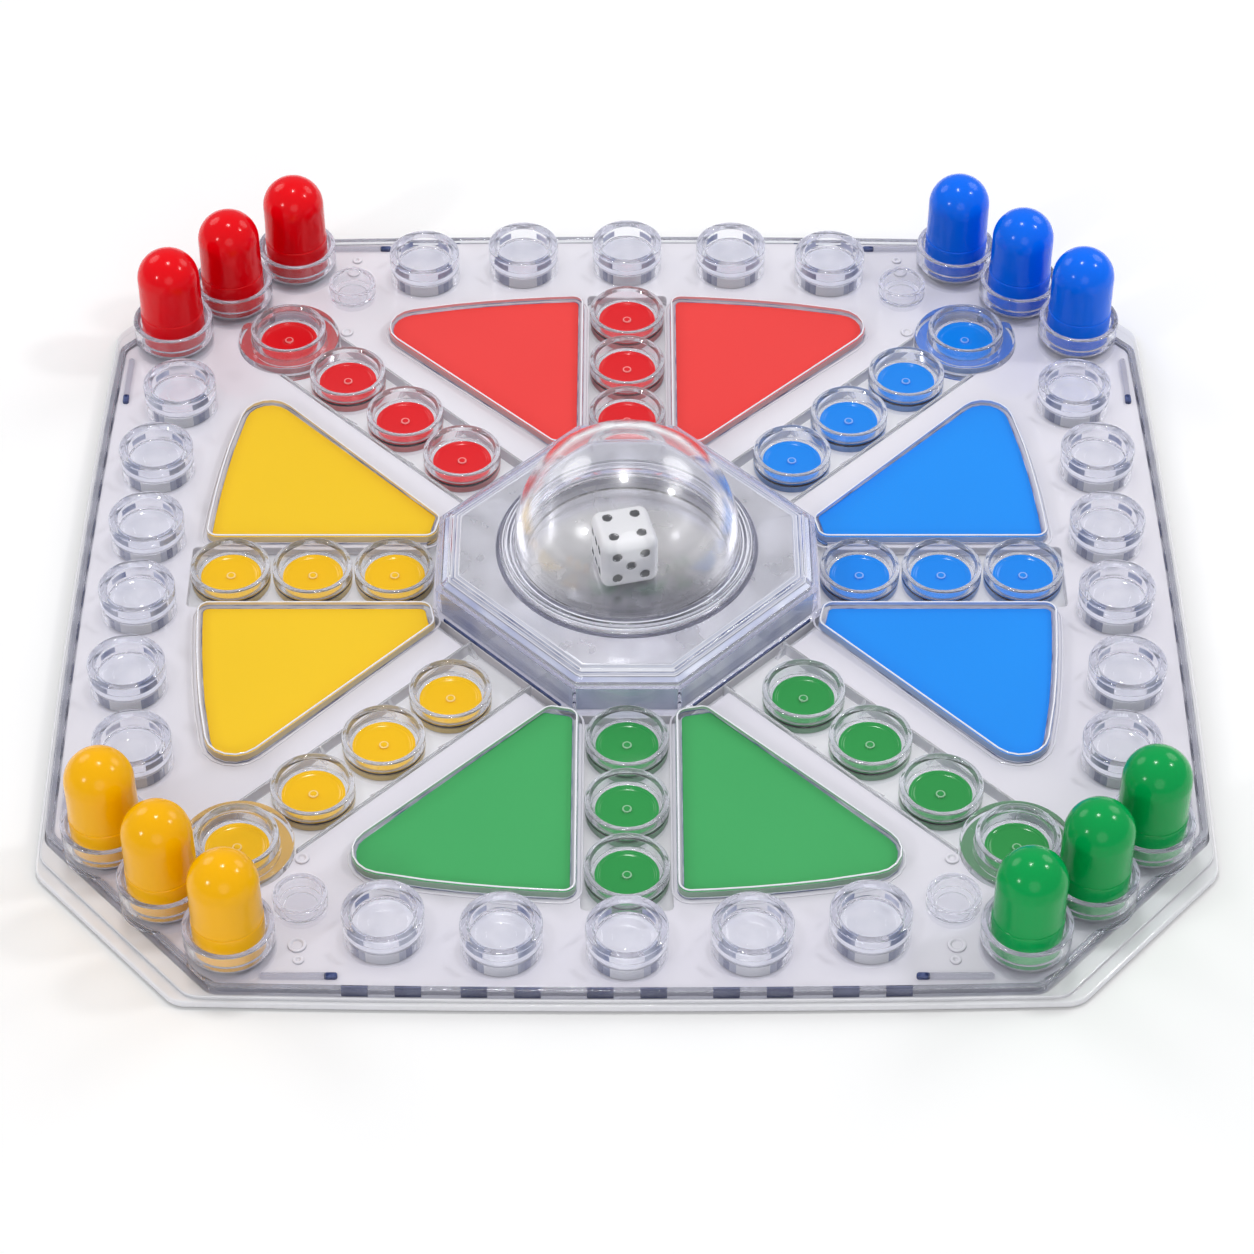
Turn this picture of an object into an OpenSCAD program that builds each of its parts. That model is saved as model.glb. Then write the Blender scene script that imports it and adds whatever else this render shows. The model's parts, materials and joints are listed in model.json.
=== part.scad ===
// Pop up dice board game: a clear board with peg sockets, a sprung dome over a die, and twelve pegs.
// Millimetres. The origin is under the middle of the board, on the surface it stands on. +Z is up,
// -Y is the near side. The four colours go round clockwise from the far side: red, blue, green, yellow.

/* [Board] */
// Half the width of the board where its cut corners begin, left to right
board_half_x = 145.5; // [143:0.5:150]
// Half the depth of the board where its cut corners begin, near to far
board_half_y = 142.5; // [141:0.5:150]
// How far along the left and right sides, from the middle, the cut corners begin
cut_from_y = 102; // [98:0.5:106]
// How far along the near and far sides, from the middle, the cut corners begin
cut_from_x = 108; // [104:0.5:112]
// How far each side bows out at its middle
side_bow = 1.5; // [0.5:0.1:2.5]
// Thickness of the flange round the base tray
flange_t = 2; // [1.6:0.1:2.4]
// Ledge of flange that shows outside the frame along the sides
ledge_side = 1.8; // [1.2:0.1:3]
// Ledge of flange that shows outside the frame at the cut corners
ledge_corner = 8; // [5:0.5:10]
// Thickness of the playing deck
deck_t = 2.4; // [2:0.1:3]
// How far the edge frame stands above the deck
lip_h = 1; // [0.6:0.1:1.4]
// Width of the edge frame's wall
lip_w = 1.6; // [1.2:0.1:2.4]

/* [Sockets] */
// Height above the table of the rims of the track and corner sockets
track_rim_z = 14; // [12:0.2:16]
// Outside diameter of a track socket
track_od = 20; // [19:0.1:21]
// Bore of a track socket, which takes the spigot of a peg
track_id = 15.3; // [15:0.1:16]
// Depth of a track socket
track_depth = 4.4; // [4:0.1:5]
// Outside diameter of a corner socket
corner_od = 22.2; // [21.5:0.1:22.6]
// Bore of a corner socket round a stored peg
corner_id = 18.4; // [18:0.1:19]
// Height above the table of the rims of the lane and diagonal sockets
lane_rim_z = 8.6; // [8.2:0.1:10]
// Outside diameter of the lane, diagonal and start sockets
lane_od = 21.2; // [20.6:0.1:21.4]
// Bore of the lane, diagonal and start sockets
lane_id = 17.8; // [17:0.1:18.2]
// Height above the table of the rims of the start sockets
start_rim_z = 9.4; // [9:0.2:12]
// Depth of the lane, diagonal and start sockets' floors below the lane rims
lane_depth = 3.8; // [3.4:0.1:4.2]
// Outside diameter of the round collar at the foot of a start socket
collar_od = 28.4; // [27:0.2:30]
// Diameter of the coloured discs in the sockets
disc_d = 15.6; // [15:0.1:15.6]

/* [Panels] */
// Distance from the axis of a lane to the straight side of a panel
panel_axis_gap = 13.9; // [13.2:0.1:14.4]
// Distance from a diagonal to the slanted side of a panel
panel_diagonal_gap = 21; // [19:0.2:22]
// Distance from the middle of the board to the outer edge of a panel
panel_reach = 111.5; // [109:0.5:113]
// Height of the clear window over a panel
window_h = 3.2; // [2.6:0.1:4]
// Clear border of a window round its panel
window_border = 1.6; // [1.2:0.1:1.8]

/* [Popper] */
// Distance from the middle to the faces of the housing that look along the lanes
housing_reach = 50; // [48:0.5:50.4]
// Half the width of those faces
housing_face = 13.8; // [12:0.2:16]
// Height of the upright walls of the housing above the deck
housing_wall_h = 8.6; // [7:0.2:10]
// Width of the bevel round the top of the housing
bevel_w = 4; // [3:0.2:5]
// Height of the bevel
bevel_h = 3.6; // [3:0.2:5]
// Outside radius of the dome
dome_r = 29.5; // [28:0.1:30.5]
// Wall of the dome
dome_t = 1.6; // [1.2:0.1:2]
// Height of the centre of the dome's round top above the top of the housing
dome_rise = 4; // [2:0.1:5]
// How far the dome travels when it is pressed
press_travel = 3; // [2:0.1:3.4]
// Edge of the die
die_size = 15.4; // [14:0.2:16]
// Turn of the die as it lies
die_turn = 14; // [0:1:45]

/* [Pegs] */
// Diameter of a peg's body
peg_d = 17.2; // [16.5:0.1:17.4]
// Height of a peg's top above the rim of its socket
peg_over_rim = 23; // [18:0.5:26]
// Diameter of the spigot under a peg
spigot_d = 14.9; // [14.4:0.1:15]

/* [Hidden] */
$fn = 96;

// colours, and the quarter turns that carry the far side to each colour's own side and corner
RED = [0.93, 0.12, 0.12];
BLUE = [0.1, 0.5, 0.95];
GREEN = [0.15, 0.66, 0.35];
YELLOW = [0.98, 0.76, 0.1];
CLEAR = [0.86, 0.88, 0.95, 0.4];
red_turn = 0;
blue_turn = 1;
green_turn = 2;
yellow_turn = 3;

// gaps between pieces
eps = 0.01;
seat_gap = 0.1;
loose_gap = 0.3;

// heights above the table
deck_z = flange_t + deck_t;
frame_z = deck_z + lip_h;
tray_floor_t = flange_t - 0.8;
tray_ledge_w = 4;

// sockets, each at [x, y] from the middle of the board
track_side = [[128, 13.2], [128, 41], [124, 67.6]];
track_end = [[0, 129], [30, 128], [58.4, 124.2]];
corner_at = [[-128.2, 95], [-112.7, 112.1], [-95.4, 127.6]];
lane_at = [61.6, 83.3, 105];
diagonal_at = [45.2, 61.5, 78.3];
start_at = 96;
marker_at = [79, 115.5];
boss_at = [[79.2, 127.2, 2.3], [78.6, 131.8, 1.4], [79.8, 99.6, 1.8]];

socket_floor_t = 1.2;
rim_chamfer = 0.8;
disc_t = 0.6;
disc_seat_h = 0.8;
disc_seat_d = disc_d + 0.3;
disc_z = lane_rim_z - lane_depth - disc_seat_h;
disc_floor_t = 1;
track_hollow_d = track_id + 1.1;
corner_seat_depth = 5;
marker_od = 13.4;
marker_id = 10.6;
marker_rim_z = 10;
marker_depth = 3.6;
boss_h = 0.6;
collar_z = 6.2;

// channels in the deck, and the rails with ribs that line the diagonal ones
lane_channel_w = 22.6;
lane_channel_end = 116;
rail_from_axis = 10.75;
rail_t = 0.8;
rail_over_deck = 0.5;
rail_end = 128;
diagonal_channel_w = 2 * (rail_from_axis + rail_t + seat_gap);
rib_w = 0.9;
rib_reach = 3;
groove_w = 2.4;
groove_gap = 0.3;
groove_depth = 1.8;

// bars inside the edge frame, near its corners
clip_from = 70.5;
clip_length = 17;
clip_w = 1.6;
clip_gap = 1.4;

// panels
panel_t = 0.5;
panel_edge_r = 320;
panel_inner_y = 51.4;
panel_inner_cut = 7.6;
panel_inner_rise = 1.6;
panel_tip_r = 6.5;
panel_corner_r = 1.6;
outer_edge_steps = 7;
tip_steps = 3;

// popper
housing_top_z = deck_z + housing_wall_h + bevel_h;
housing_wall_t = 2.2;
slant_reach = (housing_reach + housing_face) / sqrt(2);
roof_t = 1.4;
plinth_w = 0.8;
plinth_h = 0.9;
dome_z = housing_top_z + dome_rise;
collar_steps = [[33.4, 0.9], [32.2, 1.7]];
guide_r = 33.2;
guide_t = 1.2;
dome_flange_r = 32.4;
dome_flange_t = 1;
dome_flange_z = housing_top_z - roof_t - loose_gap - dome_flange_t;
die_floor_t = 1;
die_floor_r = 31.6;
spring_flat_h = 2;
die_floor_z = deck_z + spring_flat_h + press_travel + die_floor_t;
foil_t = 0.4;
die_at = [-0.7, -2.8];
die_corner_r = die_size * 0.68;
pip_r = 1.35;
pip_depth = 0.4;
pip_step = 3.7;
pip_paint_t = 0.2;
pip_gap = 0.02;
spring_w = 12;
spring_t = 0.4;
spring_half = 24;
spring_steps = 12;

// pegs
peg_z = track_rim_z - corner_seat_depth + seat_gap;
peg_top_z = track_rim_z + peg_over_rim;
spigot_h = 2.6;
foot_d = 17.6;
foot_h = 9;
foot_groove_h = 0.5;

// ---- outlines ----

function unit(v) = v / norm(v);

// points of an arc of radius r that rounds the corner b between the points a and c
function round_corner(a, b, c, r, steps) =
    let (u = unit(a - b), v = unit(c - b), half = acos(u * v) / 2)
    let (centre = b + unit(u + v) * r / sin(half), first = b + u * r / tan(half) - centre)
    let (side = sign(cross(b - a, c - b)), sweep = side * (180 - 2 * half))
    [for (i = [0:steps])
        let (t = sweep * i / steps)
        centre + [first[0] * cos(t) - first[1] * sin(t), first[0] * sin(t) + first[1] * cos(t)]];

// an outline whose corners are rounded where their radius isn't 0
function rounded(points, radii, steps = 5) =
    let (n = len(points))
    [for (i = [0:n - 1])
        each (radii[i] == 0 ? [points[i]]
            : round_corner(points[(i + n - 1) % n], points[i], points[(i + 1) % n], radii[i], steps))];

// the board's outline, moved in by side_in along the sides and by corner_in at the cut corners
function board_outline(side_in, corner_in, corner_r) =
    let (hx = board_half_x - side_in, hy = board_half_y - side_in)
    let (n = unit([board_half_y - cut_from_y, board_half_x - cut_from_x]))
    let (reach = n * [board_half_x, cut_from_y] - corner_in)
    let (cy = (reach - n[0] * hx) / n[1], cx = (reach - n[1] * hy) / n[0])
    let (bowed = [for (i = [-3:3]) i / 4])
    let (right = [for (t = bowed) [hx + side_bow * (1 - t * t), t * cy]])
    let (far = [for (t = bowed) [-t * cx, hy + side_bow * (1 - t * t)]])
    rounded(
        concat([[hx, -cy]], right, [[hx, cy]], [[cx, hy]], far, [[-cx, hy]],
            [[-hx, cy]], -right, [[-hx, -cy]], [[-cx, -hy]], -far, [[cx, -hy]]),
        [for (i = [0:3]) each concat([corner_r], [for (t = bowed) 0], [corner_r])]);

// one panel's outline beside the +Y axis, on its +X side, grown by out
function panel_outline(out) =
    let (x0 = panel_axis_gap - out, gap = (panel_diagonal_gap - out) * sqrt(2))
    let (reach = panel_reach + out, y_in = panel_inner_y - out)
    let (tip_x = panel_edge_r * (sqrt(1 + 2 * (reach - gap) / panel_edge_r) - 1))
    let (edge = [for (i = [outer_edge_steps:-1:0])
        let (x = x0 + (tip_x - x0) * i / outer_edge_steps) [x, reach - x * x / (2 * panel_edge_r)]])
    rounded(
        concat([[x0, y_in + panel_inner_rise], [x0 + panel_inner_cut, y_in], edge[0]],
            [for (i = [tip_steps:outer_edge_steps]) edge[i]]),
        concat([panel_corner_r + out, panel_corner_r + out, panel_tip_r + out],
            [for (i = [tip_steps:outer_edge_steps]) i == outer_edge_steps ? panel_corner_r + out : 0]));

// the housing's outline, a square turned 45 degrees with its corners cut, moved in by inset
function housing_outline(inset) =
    let (a = housing_reach - inset, slant = (housing_reach + housing_face) - inset * sqrt(2))
    [[a, slant - a], [slant - a, a], [a - slant, a], [-a, slant - a],
        [-a, a - slant], [a - slant, -a], [slant - a, -a], [a, a - slant]];

// ---- shapes that repeat ----

module slab(points, z, h) {
    translate([0, 0, z]) linear_extrude(h) polygon(points);
}

module disc(d, z, h) {
    translate([0, 0, z]) cylinder(d = d, h = h);
}

module on_quarter(turn) {
    rotate([0, 0, -90 * turn]) children();
}

// the four places of a socket that is mirrored left to right and near to far
module mirrored(at) {
    for (sx = at[0] == 0 ? [1] : [-1, 1], sy = [-1, 1]) {
        translate([sx * at[0], sy * at[1], 0]) children();
    }
}

// a round socket: a blind bore from the rim, a chamfered rim and a hollow under the floor
module cup(od, id, rim_z, depth, hollow_d) {
    floor_z = rim_z - depth;
    difference() {
        disc(od, deck_z, rim_z - deck_z);
        disc(id, floor_z, depth + 1);
        disc(hollow_d, deck_z - 1, floor_z - socket_floor_t - deck_z + 1);
        translate([0, 0, rim_z - rim_chamfer])
            cylinder(d1 = id, d2 = id + 2 * rim_chamfer, h = rim_chamfer + eps);
    }
}

// a socket that stands on the tray: its floor holds a coloured disc below the bore
module disc_cup(rim_z) {
    difference() {
        disc(lane_od, tray_floor_t, rim_z - tray_floor_t);
        disc(lane_id, disc_z + disc_seat_h, rim_z);
        disc(disc_seat_d, disc_z, rim_z);
        disc(disc_seat_d, 0, disc_z - disc_floor_t);
        translate([0, 0, rim_z - rim_chamfer])
            cylinder(d1 = lane_id, d2 = lane_id + 2 * rim_chamfer, h = rim_chamfer + eps);
    }
}

// a coloured disc with a low ring and a centre nub, below the foot of its socket's bore
module coloured_disc() {
    ring_w = 0.8;
    ring_inset = 1.2;
    nub_d = 3.2;
    raised_t = disc_t + 0.15;
    disc(disc_d, disc_z, disc_t);
    difference() {
        disc(disc_d - 2 * ring_inset, disc_z, raised_t);
        disc(disc_d - 2 * ring_inset - 2 * ring_w, disc_z, raised_t + 1);
    }
    disc(nub_d, disc_z, raised_t);
}

module lane_places(turn) {
    on_quarter(turn) for (r = lane_at) translate([0, r, 0]) children();
}

module diagonal_places(turn) {
    on_quarter(turn) for (r = diagonal_at) translate([-r, r, 0]) children();
}

module start_place(turn) {
    on_quarter(turn) translate([-start_at, start_at, 0]) children();
}

// ---- board ----

module base_tray() {
    color(CLEAR) difference() {
        slab(board_outline(0, 0, 7), 0, flange_t);
        slab(board_outline(ledge_side + tray_ledge_w, ledge_corner + tray_ledge_w, 4),
            tray_floor_t, flange_t);
    }
}

// the openings in the deck for one side's lane, one diagonal row and its start socket
module channels(turn) {
    h = deck_z + 1;
    reach = start_at * sqrt(2);
    on_quarter(turn) {
        translate([-lane_channel_w / 2, housing_reach + plinth_w + seat_gap, 0])
            cube([lane_channel_w, lane_channel_end - housing_reach - plinth_w - seat_gap, h]);
        rotate([0, 0, 135]) translate([slant_reach + plinth_w + seat_gap, -diagonal_channel_w / 2, 0])
            cube([reach - slant_reach - plinth_w - seat_gap, diagonal_channel_w, h]);
        translate([-start_at, start_at, 0]) disc(collar_od + 2 * seat_gap, 0, h);
    }
}

// the deck fills the tray's hollow, with channels down to the tray and a groove round the housing
module deck() {
    inset = lip_w + seat_gap / 2;
    recess = tray_ledge_w + seat_gap;
    color(CLEAR) {
        difference() {
            union() {
                slab(board_outline(ledge_side + inset, ledge_corner + inset, 4), flange_t, deck_t);
                slab(board_outline(ledge_side + recess, ledge_corner + recess, 4),
                    tray_floor_t, flange_t - tray_floor_t + eps);
            }
            for (turn = [0:3]) channels(turn);
            difference() {
                slab(housing_outline(-plinth_w - groove_gap - groove_w), deck_z - groove_depth, deck_z);
                slab(housing_outline(-plinth_w - groove_gap), 0, deck_z);
            }
        }
        for (b = boss_at) mirrored(b) disc(2 * b[2], deck_z - 1, boss_h + 1);
    }
}

// the lip and its bars give way above the deck to the corner sockets
module edge_frame() {
    color(CLEAR) difference() {
        union() {
            difference() {
                slab(board_outline(ledge_side, ledge_corner, 5), flange_t, frame_z - flange_t);
                slab(board_outline(ledge_side + lip_w, ledge_corner + lip_w, 4), flange_t - 1, frame_z);
            }
            clip_bars();
        }
        corner_places() disc(corner_od + 2 * seat_gap, deck_z, frame_z);
    }
}

// bars that clip the deck down, beside the frame's inner face
module clip_bars() {
    from_side = ledge_side + lip_w + clip_gap + clip_w;
    for (sx = [0, 1], sy = [0, 1]) mirror([sx, 0, 0]) mirror([0, sy, 0]) {
        translate([board_half_x - from_side, clip_from, deck_z]) cube([clip_w, clip_length, lip_h]);
        translate([clip_from, board_half_y - from_side, deck_z]) cube([clip_length, clip_w, lip_h]);
    }
}

// ---- sockets ----

module track_sockets() {
    color(CLEAR) for (at = concat(track_side, track_end)) {
        mirrored(at) cup(track_od, track_id, track_rim_z, track_depth, track_hollow_d);
    }
}

module corner_places() {
    for (turn = [0:3], at = corner_at) on_quarter(turn) translate([at[0], at[1], 0]) children();
}

module corner_sockets() {
    spigot_pocket_z = track_rim_z - corner_seat_depth - spigot_h - seat_gap;
    color(CLEAR) corner_places() difference() {
        disc(corner_od, deck_z, track_rim_z - deck_z);
        disc(corner_id, track_rim_z - corner_seat_depth, track_rim_z);
        disc(track_id, spigot_pocket_z, track_rim_z);
        translate([0, 0, track_rim_z - rim_chamfer])
            cylinder(d1 = corner_id, d2 = corner_id + 2 * rim_chamfer, h = rim_chamfer + eps);
    }
}

module lane_sockets() {
    color(CLEAR) for (turn = [0:3]) lane_places(turn) disc_cup(lane_rim_z);
}

module diagonal_sockets() {
    color(CLEAR) for (turn = [0:3]) diagonal_places(turn) disc_cup(lane_rim_z);
}

module start_sockets() {
    color(CLEAR) for (turn = [0:3]) start_place(turn) disc_cup(start_rim_z);
}

// a clear collar over the coloured ring at the foot of each start socket
module start_collars() {
    bottom_z = tray_floor_t + disc_t + seat_gap;
    color(CLEAR) for (turn = [0:3]) difference() {
        start_place(turn) disc(collar_od, bottom_z, collar_z - bottom_z);
        start_place(turn) disc(lane_od + 2 * seat_gap, 0, collar_z + 1);
        on_quarter(turn) translate([corner_at[1][0], corner_at[1][1], 0])
            disc(corner_od + 2 * seat_gap, deck_z - seat_gap, collar_z);
    }
}

module marker_cups() {
    color(CLEAR) mirrored(marker_at)
        cup(marker_od, marker_id, marker_rim_z, marker_depth, marker_id - 2);
}

// thin walls that line the diagonal channels, with a rib between each two sockets
module channel_rails() {
    places = [for (r = diagonal_at) r * sqrt(2)];
    start = slant_reach + plinth_w + 2 * seat_gap;
    ribs_at = [start + rib_w, (places[0] + places[1]) / 2, (places[1] + places[2]) / 2];
    h = deck_z + rail_over_deck - tray_floor_t;
    color(CLEAR) for (turn = [0:3], side = [0, 1]) {
        on_quarter(turn) rotate([0, 0, 135]) mirror([0, side, 0]) difference() {
            union() {
                translate([start, rail_from_axis, tray_floor_t]) cube([rail_end - start, rail_t, h]);
                for (x = ribs_at) translate([x, rail_from_axis + eps, tray_floor_t]) rib(h);
            }
            translate([start_at * sqrt(2), 0, 0]) disc(collar_od + 2 * seat_gap, 0, 2 * deck_z);
        }
    }
}

// an upright triangular rib that leans on a rail
module rib(h) {
    rotate([90, 0, -90]) translate([0, 0, -rib_w / 2]) linear_extrude(rib_w)
        polygon([[0, 0], [rib_reach, 0], [0, h]]);
}

// ---- panels ----

module panel_place(turn, flip) {
    on_quarter(turn) mirror([flip, 0, 0]) children();
}

// clear windows, each hollowed below for its panel
module window_lenses() {
    pocket = seat_gap;
    color(CLEAR) for (turn = [0:3], flip = [0, 1]) {
        panel_place(turn, flip) difference() {
            slab(panel_outline(window_border), deck_z, window_h);
            slab(panel_outline(pocket), deck_z - 1, panel_t + pocket + 1);
        }
    }
}

module panel(turn, flip, paint) {
    color(paint) panel_place(turn, flip) slab(panel_outline(0), deck_z, panel_t);
}

// ---- coloured discs ----

module lane_discs(turn, paint) {
    color(paint) lane_places(turn) coloured_disc();
}

module diagonal_discs(turn, paint) {
    color(paint) diagonal_places(turn) coloured_disc();
}

// the start socket's disc, and a ring on the tray under its collar
module start_discs(turn, paint) {
    color(paint) start_place(turn) {
        coloured_disc();
        difference() {
            disc(collar_od - 1, tray_floor_t, disc_t);
            disc(lane_od + 2 * seat_gap, 0, tray_floor_t + 1);
        }
    }
}

// ---- popper ----

// the bevelled outer form is cut from an upright block by one wedge along each of its eight sides
module housing_block() {
    difference() {
        union() {
            slab(housing_outline(0), deck_z, housing_top_z - deck_z);
            slab(housing_outline(-plinth_w), deck_z, plinth_h);
        }
        for (i = [0:7]) {
            reach = i % 2 == 0 ? housing_reach : slant_reach;
            rotate([0, 0, 45 * i]) translate([reach, 60, deck_z + housing_wall_h])
                rotate([90, 0, 0]) linear_extrude(120)
                    polygon([[0, 0], [1, -0.9], [1, bevel_h + 1],
                        [-bevel_w - bevel_w / bevel_h, bevel_h + 1], [-bevel_w, bevel_h]]);
        }
    }
}

module popper_housing() {
    opening_r = dome_r + loose_gap;
    color(CLEAR) difference() {
        union() {
            difference() {
                housing_block();
                slab(housing_outline(housing_wall_t), deck_z - 1, housing_wall_h + 1);
                slab(housing_outline(housing_wall_t + bevel_w), deck_z, housing_top_z - roof_t - deck_z);
            }
            for (s = collar_steps) disc(2 * s[0], housing_top_z - roof_t, roof_t + s[1]);
            disc(2 * (guide_r + guide_t), deck_z, housing_top_z - roof_t - deck_z + eps);
        }
        disc(2 * guide_r, deck_z - 1, housing_top_z - roof_t - deck_z + 1);
        disc(2 * opening_r, deck_z, housing_top_z);
    }
}

// silver plate under the housing's clear roof
module foil_plate() {
    color("silver") difference() {
        slab(housing_outline(housing_wall_t + bevel_w + seat_gap), housing_top_z - roof_t - foil_t, foil_t);
        disc(2 * (guide_r + guide_t + seat_gap), 0, housing_top_z);
    }
}

module dome() {
    inner_r = dome_r - dome_t;
    bottom_z = die_floor_z;
    color([0.9, 0.92, 0.97, 0.3]) difference() {
        union() {
            translate([0, 0, dome_z]) sphere(r = dome_r);
            disc(2 * dome_r, bottom_z, dome_z - bottom_z);
            disc(2 * dome_flange_r, dome_flange_z, dome_flange_t);
        }
        translate([0, 0, dome_z]) sphere(r = inner_r);
        disc(2 * inner_r, 0, dome_z);
        translate([-50, -50, bottom_z - 50]) cube([100, 100, 50]);
    }
}

module die_floor() {
    color("silver") disc(2 * die_floor_r, die_floor_z - die_floor_t, die_floor_t);
}

// a bowed steel strip that snaps flat under the floor plate
module click_spring() {
    rise = die_floor_z - die_floor_t - deck_z - spring_t - seat_gap;
    top = [for (i = [-spring_steps:spring_steps])
        let (t = i / spring_steps) [t * spring_half, spring_t + rise * (1 - t * t)]];
    under = [for (i = [spring_steps:-1:-spring_steps])
        let (t = i / spring_steps) [t * spring_half, rise * (1 - t * t)]];
    color("gray") translate([0, spring_w / 2, deck_z])
        rotate([90, 0, 0]) linear_extrude(spring_w) polygon(concat(top, under));
}

// round plugs at the pips of one face, which looks along +Z, from sunk below its surface and h high
module pips(places, sunk, r, h) {
    for (p = places) {
        translate([p[0] * pip_step, p[1] * pip_step, die_size / 2 - sunk]) cylinder(r = r, h = h, $fn = 32);
    }
}

// four on top, five in front, six on the left; opposite faces add up to seven
module all_pips(sunk, r, h) {
    two = [[-1, -1], [1, 1]];
    four = concat(two, [[-1, 1], [1, -1]]);
    six = concat(four, [[-1, 0], [1, 0]]);
    pips(four, sunk, r, h);
    rotate([90, 0, 0]) pips(concat(four, [[0, 0]]), sunk, r, h);
    rotate([0, -90, 0]) pips(six, sunk, r, h);
    rotate([0, 90, 0]) pips([[0, 0]], sunk, r, h);
    rotate([-90, 0, 0]) pips(two, sunk, r, h);
    rotate([180, 0, 0]) pips(concat(two, [[0, 0]]), sunk, r, h);
}

module on_die() {
    translate([die_at[0], die_at[1], die_floor_z + seat_gap / 2 + die_size / 2])
        rotate([0, 0, die_turn]) children();
}

// a cube with its corners rounded off by a sphere
module die() {
    color("white") on_die() difference() {
        intersection() {
            cube(die_size, center = true);
            sphere(r = die_corner_r);
        }
        all_pips(pip_depth, pip_r, 1);
    }
}

// black paint in the bottom of each pip
module die_pips() {
    color([0.1, 0.1, 0.12]) on_die() all_pips(pip_depth, pip_r - pip_gap, pip_paint_t);
}

// ---- pegs ----

// a round-topped peg with a wider foot, a groove over the foot and a spigot for the track sockets
module peg(turn, place, paint) {
    shoulder_z = peg_top_z - peg_d / 2;
    at = corner_at[place];
    color(paint) on_quarter(turn) translate([at[0], at[1], 0]) {
        translate([0, 0, shoulder_z]) sphere(d = peg_d);
        disc(peg_d, peg_z + foot_h - eps, shoulder_z - peg_z - foot_h + eps);
        difference() {
            disc(foot_d, peg_z, foot_h);
            difference() {
                disc(foot_d + 1, peg_z + foot_h - 1, foot_groove_h);
                disc(peg_d - 0.6, peg_z, foot_h);
            }
        }
        disc(spigot_d, peg_z - spigot_h, spigot_h + eps);
    }
}

base_tray();
deck();
edge_frame();
track_sockets();
corner_sockets();
lane_sockets();
diagonal_sockets();
start_sockets();
start_collars();
marker_cups();
channel_rails();
window_lenses();
popper_housing();
foil_plate();
dome();
die_floor();
click_spring();
die();
die_pips();
panel(red_turn, 1, RED);  // panel_red_left
panel(red_turn, 0, RED);  // panel_red_right
panel(blue_turn, 1, BLUE);  // panel_blue_back
panel(blue_turn, 0, BLUE);  // panel_blue_front
panel(green_turn, 1, GREEN);  // panel_green_right
panel(green_turn, 0, GREEN);  // panel_green_left
panel(yellow_turn, 1, YELLOW);  // panel_yellow_front
panel(yellow_turn, 0, YELLOW);  // panel_yellow_back
lane_discs(red_turn, RED);  // lane_discs_red
lane_discs(blue_turn, BLUE);  // lane_discs_blue
lane_discs(green_turn, GREEN);  // lane_discs_green
lane_discs(yellow_turn, YELLOW);  // lane_discs_yellow
diagonal_discs(red_turn, RED);  // diagonal_discs_red
diagonal_discs(blue_turn, BLUE);  // diagonal_discs_blue
diagonal_discs(green_turn, GREEN);  // diagonal_discs_green
diagonal_discs(yellow_turn, YELLOW);  // diagonal_discs_yellow
start_discs(red_turn, RED);  // start_discs_red
start_discs(blue_turn, BLUE);  // start_discs_blue
start_discs(green_turn, GREEN);  // start_discs_green
start_discs(yellow_turn, YELLOW);  // start_discs_yellow
peg(red_turn, 0, RED);  // peg_red_1
peg(red_turn, 1, RED);  // peg_red_2
peg(red_turn, 2, RED);  // peg_red_3
peg(blue_turn, 0, BLUE);  // peg_blue_1
peg(blue_turn, 1, BLUE);  // peg_blue_2
peg(blue_turn, 2, BLUE);  // peg_blue_3
peg(green_turn, 0, GREEN);  // peg_green_1
peg(green_turn, 1, GREEN);  // peg_green_2
peg(green_turn, 2, GREEN);  // peg_green_3
peg(yellow_turn, 0, YELLOW);  // peg_yellow_1
peg(yellow_turn, 1, YELLOW);  // peg_yellow_2
peg(yellow_turn, 2, YELLOW);  // peg_yellow_3
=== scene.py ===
import json
import math
import bpy
import numpy as np
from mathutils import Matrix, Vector
from mathutils.geometry import tessellate_polygon


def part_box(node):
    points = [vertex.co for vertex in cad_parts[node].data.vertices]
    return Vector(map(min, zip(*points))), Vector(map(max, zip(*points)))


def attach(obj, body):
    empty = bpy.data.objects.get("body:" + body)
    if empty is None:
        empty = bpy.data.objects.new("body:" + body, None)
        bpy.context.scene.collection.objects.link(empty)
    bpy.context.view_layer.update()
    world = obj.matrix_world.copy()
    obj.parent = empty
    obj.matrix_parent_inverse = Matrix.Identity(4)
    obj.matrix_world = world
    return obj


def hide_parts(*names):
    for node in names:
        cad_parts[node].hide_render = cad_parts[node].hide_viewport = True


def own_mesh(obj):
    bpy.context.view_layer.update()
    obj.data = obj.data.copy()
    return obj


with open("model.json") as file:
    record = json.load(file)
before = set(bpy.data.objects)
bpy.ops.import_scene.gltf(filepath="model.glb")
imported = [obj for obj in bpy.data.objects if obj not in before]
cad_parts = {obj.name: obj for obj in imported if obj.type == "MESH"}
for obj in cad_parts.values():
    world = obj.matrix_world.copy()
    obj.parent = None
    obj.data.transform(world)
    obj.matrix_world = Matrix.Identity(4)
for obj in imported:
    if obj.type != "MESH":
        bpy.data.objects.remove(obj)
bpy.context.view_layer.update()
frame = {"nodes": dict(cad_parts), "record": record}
scene = bpy.context.scene
mm = 0.001    # every size below is in millimetres, and turns into metres when its mesh is made
print("frame loaded:", len(frame["nodes"]), "nodes")


# a shape is three arrays: its points, the corners of all faces in a row, and each face's corner count

def unitRows(v):
    # each row over its own length
    return v / np.maximum(np.linalg.norm(v, axis=-1, keepdims=True), 1e-12)


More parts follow.
